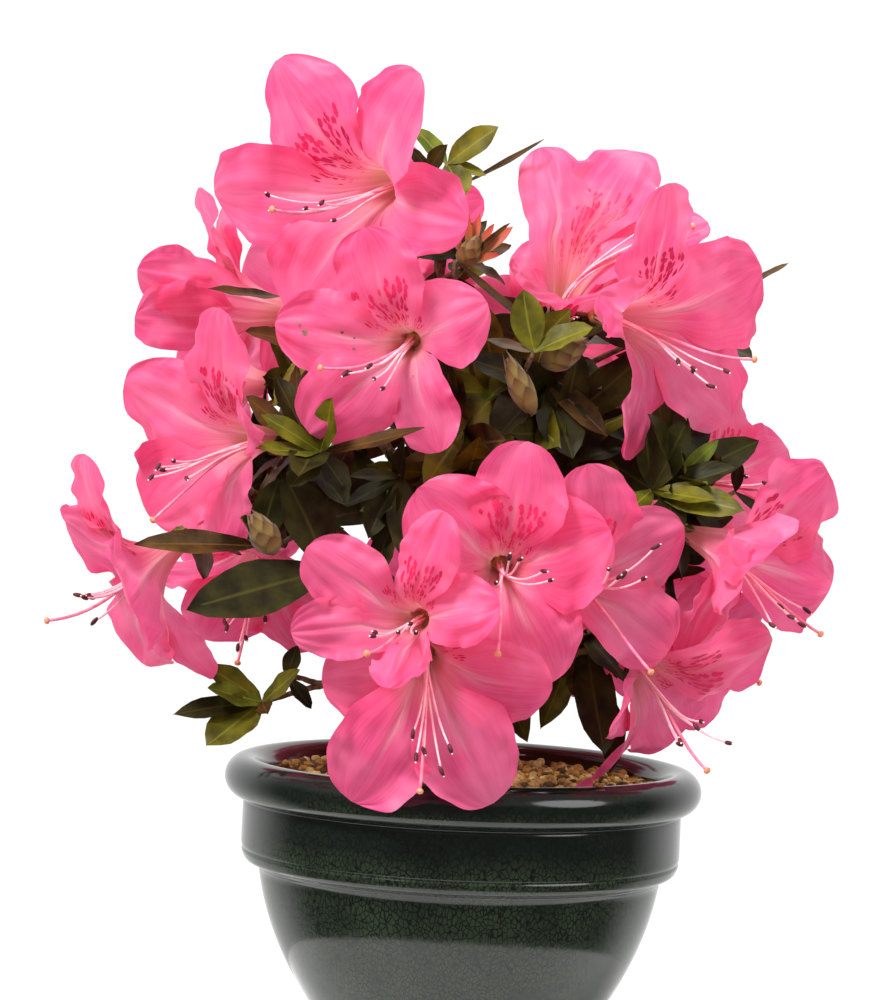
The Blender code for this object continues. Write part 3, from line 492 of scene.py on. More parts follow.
class Bloom:
    """One bloom: its place, its five petals' side views and their seeded ruffles."""

    def __init__(self, row, leans, rng):
        throat, facing, self.roll, self.size, rows = row
        self.throat = np.array(throat, float)
        self.axis, self.right, self.up = bloom_axes(facing)
        self.leans = leans
        self.spread, self.length, self.width, turn = np.array(rows, float).T
        self.turn = np.radians(turn)
        self.curl = rng.uniform(*TIP_CURL, PETALS)
        self.cup = rng.uniform(*PETAL_CUP, PETALS)
        self.ruffle = rng.uniform(*RUFFLE, PETALS)
        self.twist = rng.uniform(-TWIST, TWIST, PETALS)
        self.phase = rng.uniform(0, 1, (PETALS, 6))
        self.unfold()

    def unfold(self):
        """Works out each petal's side view: its midrib's distance from the axis and height along it.

        The slope turns smoothly from the tube's to the petal's spread between 16% and 68% of its length,
        and its tip curls back a little more.
        """
        self.v = np.linspace(0.0, 1.0, SIDE_VIEW_STEPS + 1)
        slope = (TUBE_SLOPE + (self.spread - TUBE_SLOPE)[:, None] * ramp(self.v, 0.16, 0.68)
                 + self.curl[:, None] * ramp(self.v, 0.72, 1.0))
        self.slope = np.radians(slope)
        step = PETAL_REACH * self.length[:, None] / SIDE_VIEW_STEPS
        middle = (self.slope[:, 1:] + self.slope[:, :-1]) / 2
        zero = np.zeros((PETALS, 1))
        self.out = TUBE_FOOT[0] + np.hstack([zero, np.cumsum(step * np.sin(middle), axis=1)])
        self.rise = TUBE_FOOT[1] + np.hstack([zero, np.cumsum(step * np.cos(middle), axis=1)])

    def fit(self, others):
        """Shortens, in steps, each petal that would cut one of the others' petals; gives its own trees."""
        v, u = np.meshgrid(np.linspace(0.3, 1, 10), np.linspace(-1, 1, 7), indexing="ij")
        length = self.length.copy()
        trees = []
        for index in range(PETALS):
            for shorter in SHORTER:
                self.length[index] = length[index] * shorter
                self.unfold()
                tree = search_tree(self.surface(index, u, v))
                if not cuts(tree, others):
                    break
            trees.append(tree)
        return trees

    def surface(self, index, u, v):
        """Petal `index` at u from -1 to 1 across and v from 0 to 1 along it.

        The petal is an arc of the tube, one fifth of its ring, up to the notch, and a lobe past it with
        a sine swell and a round fall. Its edges meet its neighbours' in the tube, halfway between both
        side views. Past it one edge rides over the neighbour and the other runs under. Over this lie a
        margin that ruffles with the power 2.6 of u, a furrow along the midrib, a slow undulation and fine
        creases between the veins. The round fall's power, from 1.9 to 3.2, makes a tip pointed or blunt.
        """
        near = (index + np.where(u > 0, 1, -1)) % PETALS
        shared = u ** 2 * (1 - ramp(v, NOTCH, NOTCH + 0.14))
        position = v * SIDE_VIEW_STEPS
        k = np.clip(position, 0, SIDE_VIEW_STEPS - 1e-6).astype(int)

        def along(values):
            own = np.interp(v, self.v, values[index])
            other = values[near, k] + (position - k) * (values[near, k + 1] - values[near, k])
            return own + shared * (other - own) / 2

        out, rise, slope = along(self.out), along(self.rise), along(self.slope)
        widest = PETAL_WIDTH / 2 * self.width[index]
        at_notch = math.pi * np.interp(NOTCH, self.v, self.out[index]) / PETALS
        lobe = np.clip((v - NOTCH) / (1 - NOTCH), 0, 1)
        swell = at_notch + (widest - at_notch) * np.sin(math.pi / 2 * np.clip(lobe / LOBE_WIDEST, 0, 1))
        p = self.phase[index]
        past = np.clip((lobe - LOBE_WIDEST) / (1 - LOBE_WIDEST), 0, 1)
        fall = widest * np.sqrt(1 - past ** (1.9 + 1.3 * p[3]))
        side_phase = np.where(u > 0, p[0], p[1])
        scallops = 1 + ramp(lobe, 0.1, 0.5) * (0.035 * np.sin(2 * math.pi * (2.1 * v + p[5] + side_phase))
                                               + 0.014 * np.sin(2 * math.pi * (8.3 * v + 3 * side_phase)))
        lobe_half = np.where(lobe < LOBE_WIDEST, swell, fall) * scallops
        half = np.where(v < NOTCH, math.pi * out / PETALS, lobe_half)
        arc = out + (PETAL_ARC - out) * np.clip((v - NOTCH) / 0.3, 0, 1)
        bend = u * half / arc
        distance = out - arc * (1 - np.cos(bend))
        lateral = arc * np.sin(bend)
        turn = self.turn[index] * (0.5 + 0.5 * ramp(v, 0.3, 0.56))
        turn = turn + shared * (self.turn[near] / 2 - turn) / 2
        angle = math.radians(self.roll + 360 / PETALS * index) + turn
        breadth = np.minimum(half / widest, 1.0)
        opened = ramp(v, 0.40, 0.68) * breadth
        waves = (np.sin(2 * math.pi * (1.9 * v + side_phase))
                 + 0.5 * np.sin(2 * math.pi * (4.1 * v + p[2] + 0.5 * u))
                 + 0.3 * np.sin(2 * math.pi * (8.3 * v + 3 * side_phase)))
        slow = np.sin(2 * math.pi * (0.8 * u + p[3])) * np.sin(2 * math.pi * (1.4 * v + p[4]))
        creases = np.sin(2 * math.pi * (2.6 * u * (0.6 + 0.4 * v) + p[4])) * np.cos(2 * math.pi * (v + p[2]))
        relief = ((self.ruffle[index] * np.abs(u) ** RUFFLE_POWER * waves - self.cup[index] * u ** 2
                   + self.twist[index] * u + UNDULATION * slow + CREASE * creases) * opened
                  - FURROW * np.exp(-(u / 0.11) ** 2) * ramp(v, 0.15, 0.4) * (1 - ramp(v, 0.8, 1.0)))
        lap = LAP * u * ramp(v, NOTCH, NOTCH + 0.16) * breadth
        outward, around = spun(angle, self.up, self.right), spun(-angle, self.right, self.up)
        return self.throat + self.size * ((distance - relief * np.cos(slope))[..., None] * outward
                                          + lateral[..., None] * around
                                          + (rise + lap + relief * np.sin(slope))[..., None] * self.axis)


def petal_grids(blooms, rows, columns):
    """Grids of all the petals of the blooms, u and v as their place, and the flush of each point.

    The flush fills the middle of the spotted petal and runs a little over the near halves of its
    neighbours, and fades at both ends: a bell in u times a rise and fall in v.
    """
    v, u = np.meshgrid(1 - (1 - np.linspace(0, 1, rows)) ** 1.25, np.linspace(-1, 1, columns),
                       indexing="ij")
    bell = ramp(v, 0.22, 0.36) * (1 - ramp(v, 0.46, 0.76))
    flush = [bell * np.exp(-(u / 0.55) ** 2), 0.7 * bell * np.exp(-((u + 1) / 0.4) ** 2), 0 * u, 0 * u,
             0.7 * bell * np.exp(-((u - 1) / 0.4) ** 2)]
    grids = [bloom.surface(index, u, v) for bloom in blooms for index in range(PETALS)]
    place = np.stack([u / 2 + 0.5, v], axis=-1)
    return np.array(grids), place, np.tile(np.array(flush), (len(blooms), 1, 1))


def lozenges(bloom, index, middle_u, middle_v, half_u, half_v):
    """Lozenges of three by three points round places in u and v, that lie just inside a petal's surface."""
    side = np.array((-1, 0, 1))
    wide, tall = np.meshgrid(side, side)
    middle_u, middle_v, half_u, half_v = (np.asarray(a)[:, None, None]
                                          for a in (middle_u, middle_v, half_u, half_v))
    v = middle_v + half_v * tall * (1 - 0.4 * wide ** 2)
    u = middle_u + half_u * wide * (1 - 0.4 * tall ** 2)
    points = bloom.surface(index, u, v)
    normal = unit(np.cross(bloom.surface(index, u + 0.02, v) - points,
                           bloom.surface(index, u, v + 0.02) - points))
    inner = np.sign((normal * bloom.axis).sum(-1, keepdims=True))
    return points + SPOT_RISE * normal * inner


def spot_grids(blooms, rng):
    """Small crimson spots on the spotted petal and the near halves of the two beside it.

    They are lozenges longer along the petal, that stand in lines along the veins and grow away from the
    throat.
    """
    grids = []
    for bloom in blooms:
        for index, count, low, high, reach in SPOTTED:
            along = 0.26 + (reach - 0.26) * rng.uniform(0, 1, count) ** 0.9
            middle_u = np.round(rng.uniform(low, high, count) * 7) / 7 + rng.normal(0, 0.025, count)
            keep = (np.abs(middle_u) < 1.0 - 1.2 * np.abs(along - 0.40)) & (np.abs(middle_u) > 0.07)
            along, middle_u = along[keep], middle_u[keep]
            grow = 0.45 + 0.75 * ramp(along, 0.25, 0.50)
            half_v = 0.020 * grow * rng.uniform(0.6, 1.3, len(along))
            half_u = 0.034 * grow * rng.uniform(0.6, 1.3, len(along))
            grids.append(lozenges(bloom, index, middle_u, along, half_u, half_v))
    return np.concatenate(grids)


def stamen_paths(blooms, rng):
    """Filaments and pistils: curves from the tube's bottom that lean off its axis and rise at the tip."""
    t = np.linspace(0, 1, STAMEN_POINTS)
    filaments, pistils = [], []
    down = np.array((0.0, 0.0, -1.0))
    for bloom in blooms:
        (lean_right, lean_up), (pistil_right, pistil_up) = bloom.leans
        for k in range(STAMENS + 1):
            is_pistil = k == STAMENS
            if is_pistil:
                way = bloom.axis + pistil_right * bloom.right + pistil_up * bloom.up
                reach = PISTIL_REACH * bloom.size
                start = bloom.throat
            else:
                fan = (k - 2) * STAMEN_FAN + rng.normal(0, 0.04)
                way = (bloom.axis + (lean_right + fan) * bloom.right
                       + (lean_up + rng.normal(0, 0.09)) * bloom.up)
                reach = STAMEN_REACH * bloom.size * rng.uniform(0.78, 1.08)
                ring = 2 * math.pi * k / STAMENS
                start = bloom.throat + 0.9 * (math.cos(ring) * bloom.right + math.sin(ring) * bloom.up)
            end = bloom.throat + reach * unit(way)
            turn = bloom.throat + 0.45 * reach * bloom.axis + STAMEN_SAG * reach * down
            path = bezier(start - 6.0 * bloom.size * bloom.axis, turn, end, t)
            path += (STAMEN_LIFT * reach * (np.clip(t - 0.6, 0, 1) / 0.4) ** 2)[:, None] * bloom.up
            (pistils if is_pistil else filaments).append(path)
    return np.array(filaments), np.array(pistils)


def beads(centres, ways, lengths, radius, rows=7, sides=8):
    """Ellipsoids at given places, stretched along given directions: the sine of t times the radius."""
    centres, ways = np.asarray(centres, float), unit(ways)
    t = np.linspace(0.0, 1.0, rows) * math.pi
    lengths = np.broadcast_to(lengths, len(centres))
    paths = centres[:, None] - 0.5 * lengths[:, None, None] * np.cos(t)[None, :, None] * ways[:, None]
    return tubes(paths, radius * np.sin(t), sides)[:, 1:-1]


# Leaves, buds and twigs

def leaf_grids(roots, ways, faces, lengths, widths, rng, droops=LEAF_DROOP, rows=10, columns=5):
    """Leaves as grids of s across and t along, and s and t as their place.

    The half width is half the width times sin(pi t^1.1)^0.72, so that the leaf is widest just past its
    middle and ends in a blunt point. It folds up along its midrib, droops with the square of t, bends to one
    side and ripples at its edges.
    """
    roots, ways, faces = (np.asarray(a, float) for a in (roots, ways, faces))
    ways = unit(ways)
    across = unit(np.cross(ways, faces))
    normal = np.cross(across, ways)
    count = len(roots)
    t, s = np.meshgrid(np.linspace(0.0, 1.0, rows), np.linspace(-1, 1, columns), indexing="ij")
    half = 0.5 * np.maximum(np.sin(math.pi * t ** 1.1), 0) ** 0.72 + 0.03 * (1 - t)
    fold, droop, phase, sway = (rng.uniform(low, high, count)[:, None, None]
                                for low, high in ((0.10, 0.42), droops, (0, 1), (-0.09, 0.09)))
    lengths, widths = (np.broadcast_to(a, count)[:, None, None] for a in (lengths, widths))
    wide = s * half * widths
    high = (fold * np.abs(wide) - droop * lengths * t ** 2
            + 0.05 * widths * s ** 2 * np.sin(2 * math.pi * (2.2 * t + phase + 0.25 * s)))
    grid = (roots[:, None, None] + (lengths * t)[..., None] * ways[:, None, None]
            + (wide + sway * lengths * t ** 2)[..., None] * across[:, None, None]
            + high[..., None] * normal[:, None, None])
    return grid, np.stack([s / 2 + 0.5, t], axis=-1)


def whorl(top, direction, count, length, tilt, rng):
    """Leaves round a shoot by the golden turn, each a little lower and flatter: root, way, face, length."""
    direction = unit(direction)
    side = unit(np.cross(direction, (0.2, 0.3, 0.93)))
    up = np.cross(side, direction)
    k = np.arange(count)
    angle = np.radians(rng.uniform(0, 360) + k * GOLDEN_TURN)
    lean = np.radians(tilt + rng.uniform(-14, 14, count) + 3.0 * k)
    outward = spun(angle, side, up)
    ways = spun(lean, direction, outward)
    roots = np.asarray(top, float) - (0.4 + 0.9 * k)[:, None] * direction
    return roots, ways, direction - 0.2 * outward, length * rng.uniform(0.75, 1.12, count)


def bough_route(mass, t):
    """Path of a bough, from inside the trunk to where its mass begins, and its last direction."""
    path = np.array(TRUNK_PATH, float)
    start = np.array([np.interp(mass["fork"], path[:, 2], path[:, k]) for k in range(3)])
    middle = np.array(mass["middle"], float)
    end = start + BOUGH_SHARE * (middle - start)
    turn = start + 0.5 * (end - start) + np.array((0.0, 0.0, -2.0))
    return bezier(start, turn, end, t), unit(end - turn)


def stem_route(mass, t):
    """Path of a mass's stem, on from its bough's tip to the middle of the mass."""
    path, direction = bough_route(mass, np.array((0.0, 1.0)))
    middle = np.array(mass["middle"], float)
    reach = np.linalg.norm(middle - path[-1])
    return bezier(path[-1], path[-1] + 0.5 * reach * direction, middle, t)


def twig_route(start, end, arrival, rng):
    """Path of a twig that leaves the stem and arrives along `arrival`, with two waves of slight wander."""
    start, end, t = np.asarray(start, float), np.asarray(end, float), TWIG_STEPS
    reach = np.linalg.norm(end - start)
    path = bezier(start, end - 0.45 * reach * unit(arrival), end, t)
    wander = rng.normal(0, 0.012 * reach, (2, 3))
    return (path + np.sin(math.pi * t)[:, None] * wander[0]
            + np.sin(2 * math.pi * t)[:, None] * wander[1])


def seen_at(column, row, depth):
    """Place that the camera sees at a pixel of the picture, on the upright plane y = depth."""
    ray = CAMERA_TURN @ Vector(((column - PHOTO_WIDTH / 2) / FOCAL_PIXELS,
                                (PHOTO_HEIGHT / 2 - row) / FOCAL_PIXELS, -1.0))
    return np.array(CAMERA_PLACE) + (depth - CAMERA_PLACE[1]) / ray.y * np.array(ray)


def bud_grids(foot, tip, radius):
    """Scales of a bud between two pixels: patches of an egg shape, set by the golden turn.

    The egg's radius is radius * sin(pi h^0.7) at height h from 0 to 1. A scale spans 0.44 of the
    height and 100 degrees at its root, closes to a point, and its tip stands off a little.
    """
    place, tip = seen_at(*foot), seen_at(*tip)
    length, way = np.linalg.norm(tip - place), unit(tip - place)
    side = unit(np.cross(way, (0.31, 0.87, 0.38)))
    up = np.cross(way, side)
    h, s = np.meshgrid(np.linspace(0, 1, 7), np.linspace(-1, 1, 5), indexing="ij")
    k = np.arange(BUD_SCALES)[:, None, None]
    height = 0.58 * k / BUD_SCALES + 0.44 * h
    egg = radius * np.sin(math.pi * np.clip(height, 0.02, 0.985) ** 0.7)
    off = egg * (1.12 - 0.08 * k / BUD_SCALES) + 0.12 * radius * h ** 3
    angle = np.radians(k * GOLDEN_TURN + 50 * s * (1 - h ** 2) ** 0.7)
    grid = (place + (length * height)[..., None] * way + (off * np.cos(angle))[..., None] * side
            + (off * np.sin(angle))[..., None] * up)
    return grid, np.stack([s / 2 + 0.5, h], axis=-1)


# Pot, gravel and trunk

def bowl_radius(z):
    """Outer radius of the bowl below the collar: it closes in faster and faster towards the foot."""
    down = COLLAR_BOTTOM - z
    return BOWL_RADIUS - 0.132 * down - 0.00704 * down ** 2


def inner_radius(z):
    """Inner radius of the pot, straight behind the collar and then a wall's thickness inside the bowl."""
    return np.minimum(BOWL_RADIUS - 0.5,
                      bowl_radius(np.minimum(z, COLLAR_BOTTOM)) - WALL + np.maximum(0.0, z - 47.0))


def rounded(rows, steps=6):
    """Half section whose corners are rounded off: each row is a radius, a height and a rounding.

    A corner becomes a quadratic curve between the points that lie its rounding before and after it.
    """
    rows = np.array(rows, float)
    points = [rows[0, :2]]
    for before, corner, after in zip(rows, rows[1:], rows[2:]):
        sizes = [min(corner[2], 0.45 * np.linalg.norm(end[:2] - corner[:2])) for end in (before, after)]
        a, b = (corner[:2] + size * unit(end[:2] - corner[:2])
                for size, end in zip(sizes, (before, after)))
        points += list(bezier(a, corner[:2], b, np.linspace(0, 1, steps)))
    return np.array(points + [rows[-1, :2]])


def pot_section():
    """Half section of the pot: up the inside, over the rolled rim, down the collar, bowl and foot."""
    inside = np.linspace(FLOOR, 66.0, 16)
    roll = np.radians(np.linspace(176, -62, 30))
    collar_top = POT_HEIGHT - 2 * RIM_ROLL - 0.6
    bowl = np.linspace(COLLAR_BOTTOM - 1.4, FOOT_HEIGHT + 0.9, 28)
    outline = rounded([
        (RIM_RADIUS - RIM_ROLL + RIM_ROLL * math.cos(roll[-1]),
         POT_HEIGHT - RIM_ROLL + RIM_ROLL * math.sin(roll[-1]), 0),
        (COLLAR_RADIUS + 0.5, collar_top + 0.7, 0.5), (COLLAR_RADIUS - 0.3, collar_top, 0.5),
        (COLLAR_RADIUS, collar_top - 1.0, 0.6), (COLLAR_RADIUS, COLLAR_BOTTOM + 5.4, 1.0),
        (COLLAR_RADIUS - 0.5, COLLAR_BOTTOM + 4.6, 0.5), (COLLAR_RADIUS - 0.1, COLLAR_BOTTOM + 3.8, 0.5),
        (COLLAR_RADIUS - 1.2, COLLAR_BOTTOM + 1.2, 1.2), (BOWL_RADIUS + 0.6, COLLAR_BOTTOM, 0.8),
        (BOWL_RADIUS, COLLAR_BOTTOM - 1.2, 0.3)])
    foot = rounded([(bowl_radius(bowl[-1]), bowl[-1], 0), (FOOT_RADIUS, FOOT_HEIGHT, 0.6),
                    (FOOT_RADIUS, 1.0, 0.5), (FOOT_RADIUS - 1.0, 0.0, 0.5), (0.0, 0.0, 0)])
    return np.concatenate([
        [(0.0, FLOOR)], np.stack([inner_radius(inside), inside], axis=-1),
        np.stack([RIM_RADIUS - RIM_ROLL + RIM_ROLL * np.cos(roll),
                  POT_HEIGHT - RIM_ROLL + RIM_ROLL * np.sin(roll)], axis=-1),
        outline[1:], np.stack([bowl_radius(bowl), bowl], axis=-1), foot[1:]])


def turned_grid(section, steps, wander):
    """The section carried once round the Z axis; a hand-thrown wall wanders by a few tenths of a mm."""
    radius, height = section[:, 0][:, None], section[:, 1][:, None]
    angle = np.arange(steps) * 2 * math.pi / steps
    off = wander * np.minimum(radius / 20, 1) * (np.sin(2 * angle + 0.05 * height)
                                                 + 0.6 * np.sin(3 * angle + 1.3 - 0.08 * height)) / 1.6
    radius = np.maximum(radius + off - wander, 0)
    return np.stack([radius * np.cos(-angle), radius * np.sin(-angle), height + 0 * radius], axis=-1)


def granule_grids(rng):
    """Grains of gravel on the soil, by the golden turn, each a bead with its own bumps.

    Grain k lies at the distance edge * sqrt(share of k), so that they lie evenly, and is thrown off that
    place by up to half a grain.
    """
    k = np.arange(GRAINS)
    loose = k >= GRAINS - LOOSE_GRAINS
    share = np.where(loose, rng.uniform(0, 1, GRAINS), (k + 0.5) / (GRAINS - LOOSE_GRAINS))
    radius = GRAVEL_RADIUS * np.sqrt(share)
    angle = np.radians(k * GOLDEN_TURN) + rng.normal(0, 0.05, GRAINS)
    size = rng.uniform(*GRAIN_SIZE, GRAINS) * np.where(loose, 0.8, 1.0)
    place = np.stack([radius * np.cos(angle), radius * np.sin(angle)], axis=-1)
    place += rng.normal(0, 0.35, place.shape)
    mound = SOIL_LEVEL - 0.6 + (SOIL_MOUND + 0.6) * (1 - ramp(radius, MOUND_RADIUS, SOIL_RADIUS))
    height = mound + 0.25 * size + rng.uniform(-0.3, 0.5, GRAINS) + np.where(loose, 1.5, 0)
    way = unit(rng.normal(0, 1, (GRAINS, 3)) * (1, 1, 0.35))
    centres = np.column_stack([place, height])
    keep = np.hypot(place[:, 0] - TRUNK_PATH[0][0], place[:, 1] - TRUNK_PATH[0][1]) > TRUNK_CLEAR
    centres, way, size = centres[keep], way[keep], size[keep]
    grids = beads(np.zeros_like(centres), way, size * rng.uniform(1.0, 1.35, len(size)),
                  1.0, rows=6, sides=7)
    ball = grids - grids.mean(axis=(1, 2), keepdims=True)
    bumps = rng.uniform(0.72, 1.18, ball.shape[:3])
    bumps[:, 0], bumps[:, -1] = bumps[:, :1, 0], bumps[:, -1:, 0]
    across = ball - (ball * way[:, None, None]).sum(-1, keepdims=True) * way[:, None, None]
    ball = ball + across * (size[:, None, None, None] / 2 * 0.92 - 1)
    return centres[:, None, None] + ball * bumps[..., None]


def trunk_grid(rng):
    """Trunk on its leaning path, with its root flare and the bark's long ridges.

    The path and the radii are smooth curves through the named points. The radius is swollen by five
    roots that fade within a few millimetres of the soil, and by ridges that run up it in slow waves.
    """
    knots = np.array(TRUNK_PATH, float)
    z = np.linspace(knots[0, 2], knots[-1, 2], TRUNK_ROWS)
    path = np.stack([cubic(z, knots[:, 2], knots[:, k]) for k in (0, 1)] + [z], axis=-1)
    radius = cubic(z, knots[:, 2], np.array(TRUNK_RADII))
    angle = np.arange(TRUNK_COLUMNS) * 2 * math.pi / TRUNK_COLUMNS
    high = (z - z[0])[:, None]
    roots = ROOT_FLARE * np.cos(ROOTS * angle + 0.6) * np.exp(-high / 5.0)
    ridges = 0
    for turns, depth in ((7, 0.035), (11, 0.030), (17, 0.022), (23, 0.014)):
        a, b, c = rng.uniform(0, 6.28, 3)
        sway = 0.9 * np.sin(high / 9.0 + a) + 0.5 * np.sin(high / 3.7 + b)
        ridges = ridges + depth * np.sin(turns * angle + sway + c)
    knobs = 0.05 * np.sin(high / 5.1 + 2 * angle) * np.sin(high / 8.3 + 1.0)
    return tubes(path[None], radius[None], TRUNK_COLUMNS, relief=(1 + roots + ridges + knobs)[None])


def cubic(x, knots, values):
    """Smooth curve through named points: between two of them a cubic with the mean slope at each."""
    slope = np.gradient(values, knots)
    k = np.clip(np.searchsorted(knots, x, side="right") - 1, 0, len(knots) - 2)
    width = knots[k + 1] - knots[k]
    t = (x - knots[k]) / width
    return ((2 * t ** 3 - 3 * t ** 2 + 1) * values[k] + (t ** 3 - 2 * t ** 2 + t) * width * slope[k]
            + (3 * t ** 2 - 2 * t ** 3) * values[k + 1] + (t ** 3 - t ** 2) * width * slope[k + 1])


# Materials

# Leaves: the two tones of the blotches, the midrib's, and the roughness
LEAF_TONES = {
    "dark": ("1c1906", "34310c", "4c481a", 0.5),        # old leaf, near black in the shade
    "olive": ("403e0a", "6c6614", "828028", 0.46),      # this year's leaf, warm green
    "bronze": ("2e1c0b", "563c1a", "705228", 0.44),     # sunburnt leaf, brown
    "young": ("465214", "767e28", "8e9040", 0.44)}      # fresh leaf, yellow green

# Plain tissues, soil and stones: two tones, roughness, grains a metre, depth of relief in metres, and
# then what that gives the eye and how wide its grain is
PLAIN_TONES = {
    "young_bark": ("4a3423", "8a6c50", 0.85, 700, 0.0004),          # thin, dry and dull, 1.4 mm
    "old_bark": ("3a2a1e", "7c6450", 0.9, 260, 0.0012),             # furrowed and dull, 4 mm
    "green_stalk": ("5d6a2c", "8a6a3c", 0.55, 500, 0.0002),         # half woody, green to tan, 2 mm
    "flower_cup_painted_light": ("b88c46", "e0a868", 0.75, 700, 0.0002),    # tan down, kept paler than it is as painted light at the foot of the tube, 1.4 mm
    "crimson_spot": ("c80a46", "e01e5c", 0.5, 900, 0.0001),         # dye in the petal, satin, 1.1 mm
    "dry_scar": ("6a4230", "9a7470", 0.75, 900, 0.0002),            # withered and dull, 1.1 mm
    "pink_filament": ("f7a5b8", "ffc6cf", 0.45, 300, 0.0001),       # moist and nearly white, 3 mm
    "pink_style": ("ee5f88", "f892a8", 0.45, 300, 0.0001),          # moist, redder than those, 3 mm
    "maroon_anther": ("3a0d16", "6a2230", 0.6, 900, 0.0001),        # nearly black, 1.1 mm
    "cream_pore": ("efe2d2", "fff6ea", 0.7, 900, 0.0001),           # loose pollen, chalky, 1.1 mm
    "coral_stigma": ("e2785a", "f2a27c", 0.4, 700, 0.0001),         # sticky, with a small shine, 1.4 mm
    "damp_soil": ("1c130c", "3c2a1a", 0.95, 500, 0.001),            # dark crumbs, 2 mm
    "fired_clay_tan": ("a8824a", "d8b878", 0.95, 800, 0.0003),      # chalky baked granules, 1.3 mm
    "fired_clay_ochre": ("8e5e26", "be8844", 0.95, 800, 0.0003),
    "fired_clay_brown": ("402e16", "725228", 0.95, 800, 0.0003)}


def linear(code):
    """sRGB hex colour, such as "8a9a2a", as linear red, green, blue and alpha."""
    values = [int(code[i:i + 2], 16) / 255 for i in (0, 2, 4)]
    return (*(v / 12.92 if v <= 0.04045 else ((v + 0.055) / 1.055) ** 2.4 for v in values), 1.0)


def feed(tree, node, inputs):
    """Links each named input of the node to a socket, or sets it to a value."""
    for name, value in inputs.items():
        if isinstance(value, bpy.types.NodeSocket):
            tree.links.new(value, node.inputs[name])
        else:
            node.inputs[name].default_value = value


def add(tree, kind, inputs=None, **settings):
    """Adds a node with its settings, and its inputs linked or set."""
    node = tree.nodes.new(kind)
    for name, value in settings.items():
        setattr(node, name, value)
    feed(tree, node, inputs or {})
    return node


def new_material(name):
    """Material with its node tree, its Principled shader, and the place on the piece in metres."""
    made = bpy.data.materials.new(name)
    made.use_nodes = True
    tree = made.node_tree
    return made, tree, tree.nodes["Principled BSDF"], add(tree, "ShaderNodeTexCoord").outputs["Object"]


def grown_place(tree):
    """Place map of a petal, leaf or scale, how far off its midrib a point lies, and how far along."""
    place = add(tree, "ShaderNodeUVMap", uv_map="place").outputs["UV"]
    across, along, _ = add(tree, "ShaderNodeSeparateXYZ", {"Vector": place}).outputs
    side = add(tree, "ShaderNodeMath", {0: across, 1: 0.5}, operation="SUBTRACT").outputs[0]
    return place, add(tree, "ShaderNodeMath", {0: side}, operation="ABSOLUTE").outputs[0], along


def layered(tree, base, *layers):
    """A base colour with layers over it; each covers those below it by the product of its ranges.

    A layer is its colour and its ranges. A range is a socket, the socket's value where the range starts
    and where it is full, its cover at these two, and the word "eased" where it runs in and out smoothly.
    """
    colour = linear(base)
    for code, *ranges in layers:
        cover = 1.0
        for socket, start, full, least, most, *eased in ranges:
            part = add(tree, "ShaderNodeMapRange", {0: socket, 1: start, 2: full, 3: least, 4: most},
                       interpolation_type="SMOOTHSTEP" if eased else "LINEAR").outputs[0]
            cover = add(tree, "ShaderNodeMath", {0: cover, 1: part}, operation="MULTIPLY").outputs[0]
        colour = add(tree, "ShaderNodeMix", {0: cover, 6: colour, 7: linear(code)},
                     data_type="RGBA").outputs[2]
    return colour


def petal_finish():
    """Living azalea petal: thin, softly matt, and lit through from behind.

    The eye sees hot pink, paler at the throat, along the midrib and between the veins, deeper at the
    margin, with a crimson flush on the spotted petal and a little light that comes through.
    """
    made, tree, shader, spot = new_material("azalea_petal")
    place, side, along = grown_place(tree)
    # the veins lie about 0.7 mm apart on a petal 28 mm wide; its place on the plant gives each its own
    stretched = add(tree, "ShaderNodeMapping", {"Vector": place, "Scale": (40.0, 4.0, 1.0)}).outputs[0]
    own = add(tree, "ShaderNodeVectorMath", {0: spot, 3: 60.0}, operation="SCALE").outputs[0]
    moved = add(tree, "ShaderNodeVectorMath", {0: stretched, 1: own}).outputs[0]
    veins = add(tree, "ShaderNodeTexNoise", {"Vector": moved, "Scale": 1.0, "Detail": 3.0}).outputs[0]
    # pale patches: partly random mottling of the petal, partly painted sheen highlights
    mottling_and_painted_sheen = add(tree, "ShaderNodeTexNoise", {"Vector": spot, "Scale": 70.0, "Detail": 2.0}).outputs[0]
    flush = add(tree, "ShaderNodeAttribute", attribute_name="flush").outputs["Fac"]
    colour = layered(
        tree, "fba9b2",
        # the open lobe, and the tan depth of the tube
        ("fc6098", (along, 0.26, 0.50, 0, 1, "eased")),
        ("d9a57c", (along, 0.30, 0.14, 0, 1)),
        # a pale wedge that runs out of the throat along the middle, the margin, and the midrib
        ("f7bcc4", (side, 0.16, 0.02, 0, 1, "eased"), (along, 0.70, 0.36, 0, 0.62, "eased")),
        ("f84a86", (side, 0.36, 0.50, 0, 0.35)),
        ("ffbccb", (side, 0.045, 0.004, 0, 1, "eased"), (along, 0.86, 0.42, 0, 0.72, "eased")),
        # fine veins, pale patches about 14 mm wide that are partly the petal's own mottling and partly
        # painted sheen highlights, and the crimson flush
        ("f04480", (veins, 0.42, 0.64, 0, 0.52)),
        ("ff8cb4", (mottling_and_painted_sheen, 0.38, 0.66, 0, 0.50)),
        ("ea2a64", (flush, 0, 1, 0, 0.62)))
    relief = add(tree, "ShaderNodeBump", {"Height": veins, "Strength": 0.15, "Distance": 0.0003}).outputs[0]
    feed(tree, shader, {"Base Color": colour, "Normal": relief, "Roughness": 0.48, "IOR": 1.40,
                        "Sheen Weight": 0.15, "Sheen Roughness": 0.5})
    through = add(tree, "ShaderNodeBsdfTranslucent", {"Color": colour, "Normal": relief}).outputs[0]
    both = add(tree, "ShaderNodeMixShader", {0: 0.48, 1: shader.outputs[0], 2: through}).outputs[0]
    feed(tree, tree.nodes["Material Output"], {"Surface": both})
    return made


